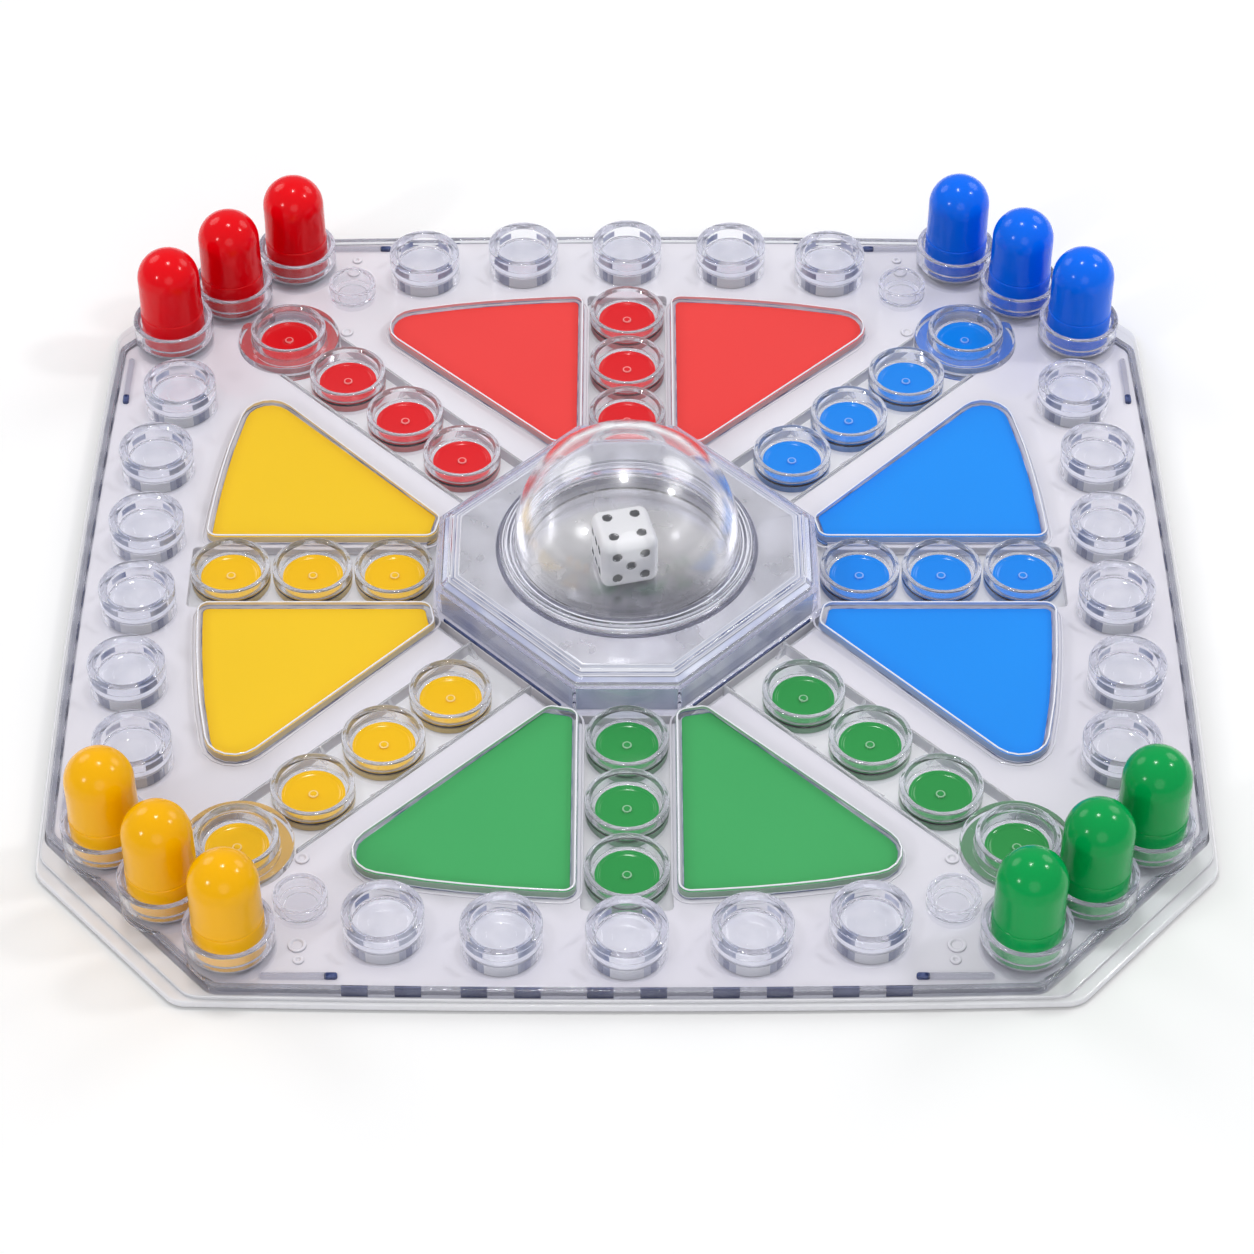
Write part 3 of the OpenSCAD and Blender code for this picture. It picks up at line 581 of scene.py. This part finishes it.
def makeSidePaintedShade():
    # painted shade: each track socket shows as a dark length of the side wall with a light middle
    inset = board["lip"] + 0.05
    cross = np.array(rectangle(0, 0.25, height["flange"] + 0.1, height["deck"] - 0.15))
    lengths = []
    for x, y, _ in trackPlaces:
        onSide = abs(x) > abs(y)
        along, wall = (y, x) if onSide else (x, y)
        half = board["halfX"] if onSide else board["halfY"]
        limit = board["cutFromY"] if onSide else board["cutFromX"]
        for first, last in ((-9.5, -3.2), (3.2, 9.5)):
            t = np.clip(along + np.linspace(first, last, 7), 2 - limit, limit - 2)
            out = half - board["ledgeSide"] - inset + 0.25 + board["bow"] * (1 - (t / limit) ** 2)
            out = np.sign(wall) * (out[:, None] - cross[:, 0])
            rows = (out, t[:, None], cross[:, 1]) if onSide else (t[:, None], out, cross[:, 1])
            lengths.append(loft(np.stack(np.broadcast_arrays(*rows), -1)))
    makePiece("deckSidePaintedShade", joined(*lengths), "bandPaintedShade", "deck")


makeTray()
makeEdgeFrame()
makeDeck()
makeSidePaintedShade()
print("board made")


def makeTrackSockets():
    # one turned profile at every place, with arcs of painted shade and painted highlight inside its foot and
    # its wall
    cup = {"outer": 10, "bore": 7.65, "rim": 14, "floor": 9.6, "wall": 1.2, "hollow": 8.2}
    base, o, b, f = height["deck"] - bond, cup["outer"], cup["bore"], cup["floor"]
    under = f - cup["wall"]
    profile = turnedProfile(
        [(3.2, f), (3.5, f + 0.12), (3.8, f), (5.8, f), (6.1, f + 0.12), (6.4, f), (b, f),
         (b, cup["rim"] - 0.8), (b + 0.7, cup["rim"]), (o, cup["rim"]), (o, f - 0.4), (o - 0.15, f - 0.7),
         (o - 0.15, base + 0.3), (o + 0.1, base), (cup["hollow"], base), (cup["hollow"], under), (3, under)],
        [0, 0.1, 0.1, 0.1, 0.1, 0.1, 0.5, 0.3, 0.35, 0.5, 0.1, 0.1, 0.1, 0.05, 0.1, 0.8, 0])
    slot, node = "clear_track", "track_sockets"
    makePiece("clearTrackSockets", copies(lathe(profile, n=56), trackPlaces), "cupClear", node)
    # painted shade and painted highlight in the glass: the hollow foot shows dark arcs between light ones,
    # the wall slate arcs; the floor is a pale plate
    r = cup["hollow"] - 0.05
    foot, wall = rectangle(r - 0.25, r, base + 0.3, under - 0.5), rectangle(8.05, 8.25, 10.3, 12.1)
    quarters = [45 + 90 * k for k in range(4)]
    arcs = {"bandPaintedShade": [(foot, m, 6) for m in quarters],
            "slatePaintedShade": [(foot, m + side * 12, 6) for m in quarters for side in (-1, 1)] +
                          [(wall, m, 17) for m in quarters],
            "palePaintedHighlight": [(foot, m + 45, 27) for m in quarters]}
    for look, spans in arcs.items():
        shape = joined(*[arc(*span) for span in spans])
        makePiece("trackFeet_" + look, copies(shape, trackPlaces), look, node)
    floor = lathe(roundCorners(rectangle(0.05, 7.7, under - 0.4, under + bond), 0.02, 1), ring=True)
    makePiece("trackSocketFloors", copies(floor, trackPlaces), "socketFloor", node)


def makeCornerSockets():
    # one turned profile with a seat for a peg's foot, at every place
    cup = {"outer": 11.1, "bore": 9.2, "rim": 14, "seat": 9, "pocket": 7.65, "floor": 6.3}
    base, o, b = height["deck"] - bond, cup["outer"], cup["bore"]
    profile = turnedProfile(
        [(3, cup["floor"]), (cup["pocket"], cup["floor"]), (cup["pocket"], cup["seat"]), (b, cup["seat"]),
         (b, cup["rim"] - 0.8), (b + 0.7, cup["rim"]), (o, cup["rim"]), (o, 9.2), (o - 0.15, 8.9),
         (o - 0.15, base + 0.3), (o, base), (3, base)],
        [0, 0.4, 0.2, 0.3, 0.3, 0.35, 0.45, 0.1, 0.1, 0.1, 0.05, 0])
    shape = copies(lathe(profile), cornerPlaces)
    makePiece("clearCornerSockets", shape, "cupClear", "corner_sockets")


def discCup(rim):
    # a turned cup that stands on the tray, with a seat for its coloured disc and a hollow foot
    cup = {"outer": 10.6, "bore": 8.9, "floor": 4.8, "seat": 7.95, "seatFloor": 4, "under": 3}
    base, o, b = board["floorTop"] - bond, cup["outer"], cup["bore"]
    return lathe(turnedProfile(
        [(3, cup["seatFloor"]), (cup["seat"], cup["seatFloor"]), (cup["seat"], cup["floor"]),
         (b, cup["floor"]), (b, rim - 0.8), (b + 0.6, rim), (o, rim), (o, 4.6), (o - 0.15, 4.3),
         (o - 0.15, base), (cup["seat"], base), (cup["seat"], cup["under"]), (3, cup["under"])],
        [0, 0.1, 0.25, 0.3, 0.3, 0.3, 0.45, 0.1, 0.1, 0.1, 0.1, 0.5, 0]))


def makeRowSockets():
    # the start sockets have a rim height of their own, the others that of the lane sockets
    for row, places in (("lane", lanePlaces), ("diagonal", diagonalPlaces), ("start", startPlaces)):
        node = row + "_sockets"
        cup = discCup(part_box(node if row == "start" else "lane_sockets")[1].z / mm)
        makePiece(f"clear{row.title()}Sockets", copies(cup, places), "cupClear", node)


def makeStartCollars():
    # the outer wall keeps clear of the corner socket behind it: its radius is the shorter of two distances
    collar = {"inner": 10.75, "outer": 14.2, "low": 1.9, "high": 6.2, "keepOff": 11.2}
    n = 120
    a = 2 * math.pi * np.arange(n) / n
    shapes = []
    for k in range(4):
        at, behind = startPlaces[k][:2], cornerPlaces[3 * k + 1][:2]
        away = behind - at
        across = away[0] * np.sin(a) - away[1] * np.cos(a)
        ahead = away[0] * np.cos(a) + away[1] * np.sin(a)
        meets = (np.abs(across) < collar["keepOff"]) & (ahead > 0)
        gap = ahead - np.sqrt(np.maximum(collar["keepOff"] ** 2 - across ** 2, 0))
        outer = np.where(meets, np.minimum(collar["outer"], gap), collar["outer"])
        section = roundCorners(rectangle(0, 1, collar["low"], collar["high"]), [0.08, 0.08, 0.12, 0.12])
        radius = collar["inner"] + section[:, :1] * (outer - collar["inner"])
        x, y = at[0] + radius * np.cos(a), at[1] + radius * np.sin(a)
        shapes.append(loft(np.stack(np.broadcast_arrays(x, y, section[:, 1:]), -1), ring=True))
    makePiece("clearStartCollars", joined(*shapes), "cupClear", "start_collars")


def makeMarkerCups():
    # one turned profile, mirrored to four places
    cup = {"outer": 6.7, "bore": 5.3, "rim": 10, "floor": 6.4, "wall": 1.2, "hollow": 4.3, "x": 79,
           "y": 115.5}
    base, o, b, f = height["deck"] - bond, cup["outer"], cup["bore"], cup["floor"]
    profile = turnedProfile(
        [(2, f), (b, f), (b, cup["rim"] - 0.5), (b + 0.4, cup["rim"]), (o, cup["rim"]), (o, f - 0.2),
         (o - 0.12, f - 0.4), (o - 0.12, base), (cup["hollow"], base), (cup["hollow"], f - cup["wall"]),
         (2, f - cup["wall"])],
        [0, 0.4, 0.2, 0.25, 0.4, 0.1, 0.1, 0.1, 0.1, 0.4, 0])
    shape = copies(lathe(profile, n=48), fourWays(cup["x"], cup["y"]))
    makePiece("clearMarkerCups", shape, "cupClear", "marker_cups")


def makeRails():
    # one channel's wall and three ribs, then their mirror image, then all at each diagonal
    rail = {"from": 10.75, "width": 0.8, "over": 0.5, "rib": 0.9, "ribReach": 3, "first": 46.3}
    low, high = board["floorTop"] - bond, height["deck"] + rail["over"]
    places = np.linalg.norm(diagonalPlaces[:3, :2], axis=1)
    stop = channel["start"] - math.sqrt(channel["collar"] ** 2 - rail["from"] ** 2) - 0.1
    line = roundCorners(rectangle(rail["first"], stop, rail["from"], rail["from"] + rail["width"]), 0.2, 2)
    section = turnedProfile([(0.2, low), (0, low), (0, high), (0.3, high)], [0, 0.05, 0.25, 0])
    parts = [alongOutline(line, section)]
    for x in (rail["first"] + rail["rib"], (places[0] + places[1]) / 2, (places[1] + places[2]) / 2):
        foot = np.array([(-1, 0), (1, 0), (1, -1), (-1, -1)]) * [rail["rib"] / 2, rail["ribReach"]]
        at = [x, rail["from"]]
        head = foot * [1, 0.08]
        parts.append(loft([level(foot + at, low), level(foot * [1, 0.97] + at, low + 0.15),
                           level(head + at, high - 0.4), level(head * 0.7 + at, high - 0.2)]))
    one = joined(*parts)
    both = joined(one, outward((one[0] * [1, -1, 1], one[1], one[2])))
    makePiece("clearRails", onDiagonals(both), "railClear", "channel_rails")


makeTrackSockets()
makeCornerSockets()
makeRowSockets()
makeStartCollars()
makeMarkerCups()
makeRails()
print("sockets made")


def makePanels():
    # a thin card under a clear window whose wall slopes out, made beside one axis, then mirrored and turned
    names = {"red": ("left", "right"), "blue": ("back", "front"), "green": ("right", "left"),
             "yellow": ("front", "back")}
    z, top, border = height["deck"], height["deck"] + panel["window"], panel["border"]
    cardTop = z + panel["thick"]
    section = turnedProfile([(0.4, z + 0.02), (0, z + 0.02), (0, cardTop), (0.4, cardTop)], [0, 0, 0.15, 0])
    card = alongOutline(panelLine(0), section)
    outer = turnedProfile([(1.2, top), (0, top), (0, z + 0.6), (-0.25, z - bond), (0.4, z - bond)],
                          [0, 0.5, 0.3, 0.05, 0])
    inner = turnedProfile([(-0.3, z - bond), (0, z - bond), (0, cardTop - bond), (0.5, cardTop - bond)],
                          [0, 0.05, 0.1, 0])
    walls = ((panelLine(border), outer), (panelLine(-bond), inner))
    lens = loft([level(movedIn(line, d), h) for line, section in walls for d, h in section])

    def ringAt(out, section):
        return alongOutline(panelLine(out), section, ring=True)

    # painted shade in fine slate lines goes round the card and inside the foot of the clear wall; the wall
    # has a lining in a light tone of the card's colour, a painted refraction of the card, and a painted
    # highlight in a pale line along its edge
    line = joined(ringAt(0.3, roundCorners(rectangle(0, 0.28, z + 0.03, z + 0.5), 0.03, 1)),
                  ringAt(border - 0.05, roundCorners(rectangle(0, 0.18, z + 0.03, z + 0.3), 0.03, 1)))
    lining = ringAt(border - 0.12, rectangle(0, 0.14, z + 0.7, z + 2.6))
    edge = ringAt(border - 0.25, rectangle(0, 0.4, top - 0.32, top - 0.14))
    slot, node = "clear_windows", "window_lenses"
    for k, c in enumerate(sides):
        both = joined(turned(lining, -90 * k, True), turned(lining, -90 * k))
        makePiece("windowWalls_" + c, both, "edge_" + c, node)
        for flip, where in zip((True, False), names[c]):
            name = f"{c}_{where}"
            makePiece("card_" + name, turned(card, -90 * k, flip), "card_" + c, "panel_" + name)
    for name, one, look in (("clearWindows", lens, "windowClear"), ("windowPaintedShadeLines", line, "slatePaintedShade"),
                            ("windowEdgePaintedHighlight", edge, "palePaintedHighlight")):
        eight = [turned(one, -90 * k, flip) for k in range(4) for flip in (True, False)]
        makePiece(name, joined(*eight), look, node)


def makeDiscs():
    disc = {"radius": 8.0, "dish": 0.45, "edge": 0.8, "nub": 1.1}
    z, radius = 4 - bond, disc["radius"]
    edge, nubTop = z + disc["edge"], z + disc["nub"]
    # a shallow bowl, its height a parabola of the radius, with a fine step near its edge and a middle nub
    r = np.array([1.7, 2.3, 3, 4, 5, 6, 6.6])
    bowl = np.stack([r, z + 0.32 + disc["dish"] * (r / radius) ** 2], -1)
    nub = turnedProfile([(0.1, nubTop), (0.7, nubTop - 0.05), (1.2, z + 0.42), bowl[0]], [0, 0.35, 0.3, 0])
    rim = turnedProfile([bowl[-1], (6.8, z + 0.72), (7.15, z + 0.72), (7.3, edge), (radius, edge),
                         (radius, z), (1, z)], [0, 0.08, 0.08, 0.1, 0.1, 0.02, 0], 3)
    one = lathe(np.concatenate([nub, bowl[1:-1], rim]))
    # painted refraction: a light tone of the disc's colour lines the hollow foot of its cup, and a painted
    # highlight rings its nub
    lining = joined(lathe(roundCorners(rectangle(7.5, 8.0, 1.25, 3.03), 0.03, 1), ring=True),
                    lathe(roundCorners(rectangle(0.8, 1.2, z + 0.6, z + 0.9), 0.05, 1), ring=True))
    ring = lathe(roundCorners(rectangle(10.75, 13.7, 1.22, 1.8), [0, 0.05, 0.2, 0.2]), ring=True)
    for k, c in enumerate(sides):
        slot, three, start = "disc_" + c, slice(3 * k, 3 * k + 3), startPlaces[k:k + 1]
        rows = {"lane": lanePlaces[three], "diagonal": diagonalPlaces[three], "start": start}
        for row, places in rows.items():
            makePiece(f"{row}Discs_{c}", copies(one, places), "disc_" + c, f"{row}_discs_{c}")
        makePiece("startRing_" + c, copies(ring, start), "tint_" + c, "start_discs_" + c)
        for row, places in rows.items():
            makePiece(f"{row}DiscFeet_{c}", copies(lining, places), "footAndNubPaintedLight_" + c, f"{row}_discs_{c}")


makePanels()
makeDiscs()
print("panels and discs made")


popper = {"wall": 8.6, "bevelWidth": 4, "bevelHeight": 3.6, "wallThick": 2.2, "roof": 1.4, "guide": 33.2,
          "guideThick": 1.2, "opening": 29.8, "dome": 29.5, "domeThick": 1.6, "domeRise": 4}
wallTop = height["deck"] + popper["wall"]
plateau = wallTop + popper["bevelHeight"]


def divided(line, parts):
    # every edge of a closed outline in equal parts
    t = np.arange(parts)[:, None] / parts
    return (line[:, None] * (1 - t) + np.roll(line, -1, 0)[:, None] * t).reshape(-1, 2)


def roundOf(line, radius):
    # the point of a circle in the same direction as each point of the line
    return unitRows(line) * radius


def edgeLine(inset):
    # the housing's outline, divided so that each of its points can also lie on a circle
    return roundCorners(divided(housingLine(inset), 18), np.tile([0.7] + [0] * 17, 8), 3)


def makeHousing():
    # the outer wall and bevel, then the collar and the guide as circles, then the inner wall, as one ring
    base, top, p = height["deck"], plateau, popper
    roof, guide, t, bevel = top - p["roof"], p["guide"], p["wallThick"], p["bevelWidth"]
    outer = turnedProfile(
        [(-0.8, base - bond), (-0.8, base + 0.9), (0, base + 0.95), (0, wallTop), (1.1, wallTop + 1.2),
         (1.3, wallTop + 1.2), (bevel - 0.4, top), (bevel + 0.6, top)], [0, 0.2, 0.1, 0.5, 0.1, 0.1, 0.5, 0])
    collar = turnedProfile(
        [(34.6, top), (33.4, top), (33.4, top + 0.9), (32.2, top + 0.95), (32.2, top + 1.7),
         (p["opening"], top + 1.7), (p["opening"], roof), (guide, roof), (guide, base - bond),
         (guide + p["guideThick"], base - bond), (guide + p["guideThick"], roof)],
        [0, 0.3, 0.3, 0.2, 0.3, 0.3, 0.2, 0.1, 0.1, 0.1, 0])
    inner = [(t + bevel, roof), (t + 0.3, wallTop), (t, wallTop - 0.5), (t, base - bond)]
    rows = [level(edgeLine(d), z) for d, z in outer]
    rows += [level(roundOf(edgeLine(bevel + 0.6), r), z) for r, z in collar]
    rows += [level(edgeLine(d), z) for d, z in inner]
    shape = loft(rows, ring=True)
    makePiece("clearHousing", shape, "housingClear", "popper_housing", sharp=30)


def makeHousingPaintedLight():
    # strips of painted shade and painted highlight behind the clear walls and the bevel: those that stand off
    # them let the clear plastic mirror
    base, top, t = height["deck"], plateau, popper["wallThick"]
    foot = np.array([t + 0.3, wallTop + 0.06])
    edge = np.array([t + popper["bevelWidth"] - 0.1, top - popper["roof"] + 0.02])
    slot, node = "clear_housing", "popper_housing"

    def up(share):
        return foot + share * (edge - foot)

    def strip(low, high):
        rows = [low, high, np.add(high, (0.15, -0.15)), np.add(low, (0.15, -0.15))]
        return loft([level(edgeLine(d), z) for d, z in rows], ring=True)

    strips = {"wallPaintedShade": [strip((t + 0.08, base + 0.05), (t + 0.08, wallTop - 0.95)),
                            strip((t + 0.42, wallTop - 0.2), (t + 1.7, wallTop + 0.56))],
              "palePaintedHighlight": [strip((t - bond, wallTop - 0.9), (t - bond, wallTop - 0.55)),
                            strip(up(0.38), up(0.46)), strip(up(0.66), up(0.76)), strip(up(0.93), up(1))],
              "slatePaintedShade": [strip(up(0.58), up(0.63))],
              "bevelPaintedShade": [strip(up(0.48), up(0.57)), strip(up(0.78), up(0.91))]}
    # painted highlight: fine pale rings in the collar round the dome
    for r0, r1 in ((30.4, 30.8), (31.5, 31.9), (32.6, 32.9)):    # fine rings in the collar round the dome
        strips["palePaintedHighlight"].append(lathe(rectangle(r0, r1, top + 0.3, top + 0.5), ring=True))
    for look, shapes in strips.items():
        makePiece("housing_" + look, joined(*shapes), look, node)
    # painted shadow: dark strips in the foot of the four slanted faces, where the groove beside the housing
    # lies in shade
    reach = (channel["reach"] + channel["face"]) / math.sqrt(2) + channel["plinth"]
    section = turnedProfile([(0.1, base + 0.02), (0, base + 0.02), (0, base + 0.8), (0.1, base + 0.8)],
                            [0, 0.02, 0.05, 0])
    dark = alongOutline(roundCorners(rectangle(reach - 0.3, reach + 0.12, -22, 22), 0.1, 1), section)
    makePiece("housingFootPaintedShadow", onDiagonals(dark), "navyKnobAndPaintedShadow", node)


def makeFoil():
    # a plate just under the housing's roof, with a round hole for the guide
    p = popper
    top = plateau - p["roof"] - 0.02
    outline = housingLine(p["wallThick"] + p["bevelWidth"] + 0.1)
    hole = circle(p["guide"] + p["guideThick"] + 0.1, 96)
    shape = plate(outline, [hole], top - 0.4, top, 0.08, 1)
    makePiece("foilPlate", shape, "foil", "foil_plate")


def makeDome():
    # an outer and an inner hemisphere on a straight skirt, which has a fine groove and a flange
    p = popper
    centre, r, low = plateau + p["domeRise"], p["dome"], height["dieFloor"]
    t = np.linspace(math.radians(1), math.pi / 2, 40)
    outer = np.stack([r * np.sin(t), centre + r * np.cos(t)], -1)
    i, flange = r - p["domeThick"], plateau - p["roof"] - 1.3
    skirt = turnedProfile([(r, centre), (r, centre - 1.6), (r - 0.12, centre - 1.8), (r - 0.12, centre - 2.2),
                           (r, centre - 2.4), (r, flange + 1), (r + 2.9, flange + 1), (r + 2.9, flange),
                           (r, flange), (r, low), (i, low), (i, centre)],
                          [0, 0.1, 0.05, 0.05, 0.1, 0.3, 0.2, 0.2, 0.2, 0.2, 0.2, 0])
    inner = np.stack([i * np.sin(t[::-1]), centre + i * np.cos(t[::-1])], -1)
    profile = np.concatenate([outer, skirt[1:-1], inner])
    makePiece("clearDome", lathe(profile, n=128), "domeClear", "dome", "popper")


def makeDieFloor():
    # a turned profile: a flat plate with a rounded rim
    floor = {"radius": 31.6, "thick": 1}
    r, z, under = floor["radius"], height["dieFloor"], height["dieFloor"] - floor["thick"]
    profile = turnedProfile([(0.5, z), (27, z), (r, z), (r, under), (0.5, under)], [0, 0, 0.25, 0.25, 0])
    makePiece("mirrorFloor", lathe(profile, n=96), "mirror", "die_floor", "popper")


def makeSpring():
    # a steel strip bowed as a parabola: its rounded section at even steps of its length
    spring = {"half": 24, "width": 12, "thick": 0.4, "base": height["deck"]}
    low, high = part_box("click_spring")
    rise = (high.z - low.z) / mm - spring["thick"]
    t = np.linspace(-1, 1, 41)
    w, h = spring["width"] / 2, spring["thick"]
    section = roundCorners(rectangle(-w, w, 0, h), 0.15, 2)
    rows = [np.column_stack([np.full(len(section), x * spring["half"]), section[:, 0],
                             spring["base"] + 0.01 + rise * (1 - x * x) + section[:, 1]]) for x in t]
    strip = makePiece("clickStrip", loft(rows), "springSteel", "click_spring")
    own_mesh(strip)


def makeDie():
    die = {"edge": 15.4, "turn": 14, "round": 2.6, "pip": 1.4, "dent": 0.55, "step": 3.7, "paint": 0.03,
           "grid": 56}
    low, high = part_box("die")
    centre = np.array([low.x + high.x, low.y + high.y, low.z + high.z]) / (2 * mm)
    two = [(-1, -1), (1, 1)]
    four = two + [(-1, 1), (1, -1)]
    pipsOn = {"top": four, "front": four + [(0, 0)], "left": four + [(-1, 0), (1, 0)], "right": [(0, 0)],
              "back": two, "under": two + [(0, 0)]}
    facing = {"top": np.eye(3), "under": np.diag([1, -1, -1]), "front": [[1, 0, 0], [0, 0, 1], [0, -1, 0]],
              "back": [[1, 0, 0], [0, 0, -1], [0, 1, 0]], "left": [[0, 0, 1], [0, 1, 0], [-1, 0, 0]],
              "right": [[0, 0, -1], [0, 1, 0], [1, 0, 0]]}
    c, s = math.cos(math.radians(die["turn"])), math.sin(math.radians(die["turn"]))
    spin = np.array([[c, -s, 0], [s, c, 0], [0, 0, 1]])
    h, n = die["edge"] / 2, die["grid"]
    flat = h - die["round"]
    # a face's grid is closer together at its edges; past the flat part it follows a quarter sphere
    u = h * np.sin(np.linspace(-1, 1, n + 1) * math.pi / 2)
    x, y = np.meshgrid(u, u, indexing="ij")
    body, dots = [], []
    for side, pips in pipsOn.items():
        core = np.stack([np.clip(x, -flat, flat), np.clip(y, -flat, flat), np.full_like(x, flat)], -1)
        skin = np.stack([x, y, np.full_like(x, h)], -1) - core
        points = core + unitRows(skin) * die["round"]
        for x0, y0 in np.multiply(pips, die["step"]):
            away = np.hypot(points[..., 0] - x0, points[..., 1] - y0) / die["pip"]
            points[..., 2] -= die["dent"] * np.sqrt(np.clip(1 - away ** 2, 0, 1)) * (points[..., 2] > flat)
        i, j = np.meshgrid(np.arange(n), np.arange(n), indexing="ij")
        m = n + 1
        quads = np.stack([i * m + j, (i + 1) * m + j, (i + 1) * m + j + 1, i * m + j + 1], -1)
        way = facing[side] @ spin.T
        body.append((points.reshape(-1, 3) @ way + centre, quads.ravel(), np.full(n * n, 4)))
        # the paint in a pip is a thin bowl that follows the dent
        r, a = np.linspace(0.04, 0.97, 7)[:, None] * die["pip"], 2 * math.pi * np.arange(28) / 28
        depth = h - die["dent"] * np.sqrt(1 - (r / die["pip"]) ** 2) + die["paint"]
        bowl = np.stack(np.broadcast_arrays(r * np.cos(a), r * np.sin(a), depth), -1)
        spot = loft(np.concatenate([bowl, bowl[::-1] - [0, 0, 2 * die["paint"]]]))
        for x0, y0 in np.multiply(pips, die["step"]):
            dots.append(outward((moved(spot, x0, y0)[0] @ way + centre, *spot[1:])))
    makePiece("diceBody", joined(*body), "dieWhite", "die", "die", sharp=60)
    makePiece("dicePips", joined(*dots), "pipBlack", "die_pips", "die")


makeHousing()
makeHousingPaintedLight()
makeFoil()
makeDome()
makeDieFloor()
makeSpring()
makeDie()
print("popper made")


def makePegs():
    # a profile turned about the upright axis: spigot, foot, fine groove, body and round cap
    peg = {"body": 8.6, "foot": 8.8, "footHeight": 9, "spigot": 7.45, "spigotHeight": 2.6,
           "grooveDepth": 0.28, "shoulder": 8.6}
    low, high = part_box(pegNodes[0])
    bottom, top = low.z / mm, high.z / mm
    seat, shoulder, foot, body = bottom + peg["spigotHeight"], peg["shoulder"], peg["foot"], peg["body"]
    neck = seat + peg["footHeight"]
    t = np.linspace(math.pi / 2, math.radians(2), 24)
    cap = np.stack([body * np.sin(t), top - shoulder + shoulder * np.cos(t)], -1)
    side = turnedProfile(
        [(4, bottom), (peg["spigot"], bottom), (peg["spigot"], seat), (foot, seat), (foot, neck - 1),
         (foot - peg["grooveDepth"], neck - 0.75), (foot - 0.05, neck - 0.4), (body + 0.06, neck + 1),
         (body, neck + 6), (body, top - shoulder)],
        [0, 0.5, 0.15, 0.4, 0.25, 0.2, 0.25, 1.5, 0, 0])
    shape = lathe(np.concatenate([side, cap[1:]]), n=80)
    for k, node in enumerate(pegNodes):
        _, c, number = node.split("_")
        stored = moved(shape, *cornerPlaces[k][:2])
        makePiece(f"playingPeg_{c}_{number}", stored, "peg_" + c, node, node)


makePegs()
print("pegs made")


def makeCamera():
    # fitted to the photograph; places and the sensor are in millimetres, and the view looks down by degrees
    view = {"lens": 102.13, "sensor": 36, "back": 676.96, "height": 662.33, "lookDown": 45}
    camera = bpy.data.objects.new("camera", bpy.data.cameras.new("camera"))
    camera.data.lens, camera.data.sensor_width = view["lens"], view["sensor"]
    camera.data.clip_start, camera.data.clip_end = 0.01, 20
    camera.location = (0, -view["back"] * mm, view["height"] * mm)
    camera.rotation_euler = (math.radians(view["lookDown"]), 0, 0)
    scene.collection.objects.link(camera)
    scene.camera = camera


def makeFloor():
    # a wide white sheet just under the board
    half, below = 4000 * mm, -0.3 * mm
    sheet = bpy.data.meshes.new("floorSheet")
    sheet.from_pydata([(x, y, below) for x, y in rectangle(-half, half, -half, half)], [], [(0, 1, 2, 3)])
    floor = bpy.data.objects.new("floorSheet", sheet)
    scene.collection.objects.link(floor)
    made = bpy.data.materials.new("floorWhite")
    made.use_nodes = True
    tree = made.node_tree
    shader = tree.nodes["Principled BSDF"]
    tone = noiseOn(tree, 3.0)
    tree.links.new(blended(tree, tone, (0.93, 0.93, 0.935), (0.94, 0.94, 0.94)), shader.inputs["Base Color"])
    shader.inputs["Roughness"].default_value = 0.9
    shader.inputs["Specular IOR Level"].default_value = 0.0
    # a faint glow, only towards the camera and in what mirrors or refracts it
    path = added(tree, "LightPath", {})
    rays = path.outputs["Is Camera Ray"]
    for ray in ("Is Glossy Ray", "Is Transmission Ray"):
        rays = added(tree, "Math", {0: rays, 1: path.outputs[ray]}, operation="ADD").outputs[0]
    weak = added(tree, "Math", {0: rays, 1: 0.07}, operation="MULTIPLY").outputs[0]
    glow = added(tree, "Emission", {"Strength": weak}).outputs[0]
    total = added(tree, "AddShader", {0: shader.outputs[0], 1: glow}).outputs[0]
    tree.links.new(total, tree.nodes["Material Output"].inputs["Surface"])
    sheet.materials.append(made)


def makeLight():
    # three small round lamps for the highlights, two wide ones behind and one in front, in metres and watts;
    # the sky grows brighter with height
    lamps = {"overhead": ((-0.05, 0.17, 1.13), 0.07, 2.5), "right": ((0.75, 0.09, 0.87), 0.065, 2.0),
             "frontLeft": ((-0.78, -0.60, 0.60), 0.06, 1.6), "backLeft": ((-0.85, 0.75, 0.75), 0.3, 2.5),
             "backRight": ((0.85, 0.75, 0.75), 0.3, 2.5), "front": ((0.10, -1.10, 0.62), 0.35, 1.8)}
    for name, (at, radius, power) in lamps.items():
        light = bpy.data.lights.new(name, "AREA")
        light.shape, light.size, light.energy = "DISK", 2 * radius, power
        lamp = bpy.data.objects.new(name, light)
        lamp.location = at
        lamp.rotation_euler = (-Vector(at)).to_track_quat("-Z", "Y").to_euler()
        scene.collection.objects.link(lamp)
    world = bpy.data.worlds.new("studio")
    scene.world = world
    world.use_nodes = True
    tree = world.node_tree
    sky = tree.nodes["Background"]
    place = added(tree, "TexCoord", {}).outputs["Generated"]
    ramp = added(tree, "ValToRGB", {"Fac": added(tree, "SeparateXYZ", {"Vector": place}).outputs["Z"]})
    dim, bright = ramp.color_ramp.elements
    dim.position, dim.color = 0.02, (0.74, 0.77, 0.90, 1)
    bright.position, bright.color = 0.6, (1.0, 1.0, 1.0, 1)
    tree.links.new(ramp.outputs["Color"], sky.inputs["Color"])
    sky.inputs["Strength"].default_value = 0.48


makeCamera()
makeFloor()
makeLight()
scene.view_settings.view_transform = "Standard"
scene.cycles.max_bounces, scene.cycles.transparent_max_bounces = 24, 24    # many clear walls in a row
scene.cycles.transmission_bounces, scene.cycles.glossy_bounces = 20, 16
print("camera, floor and light made")
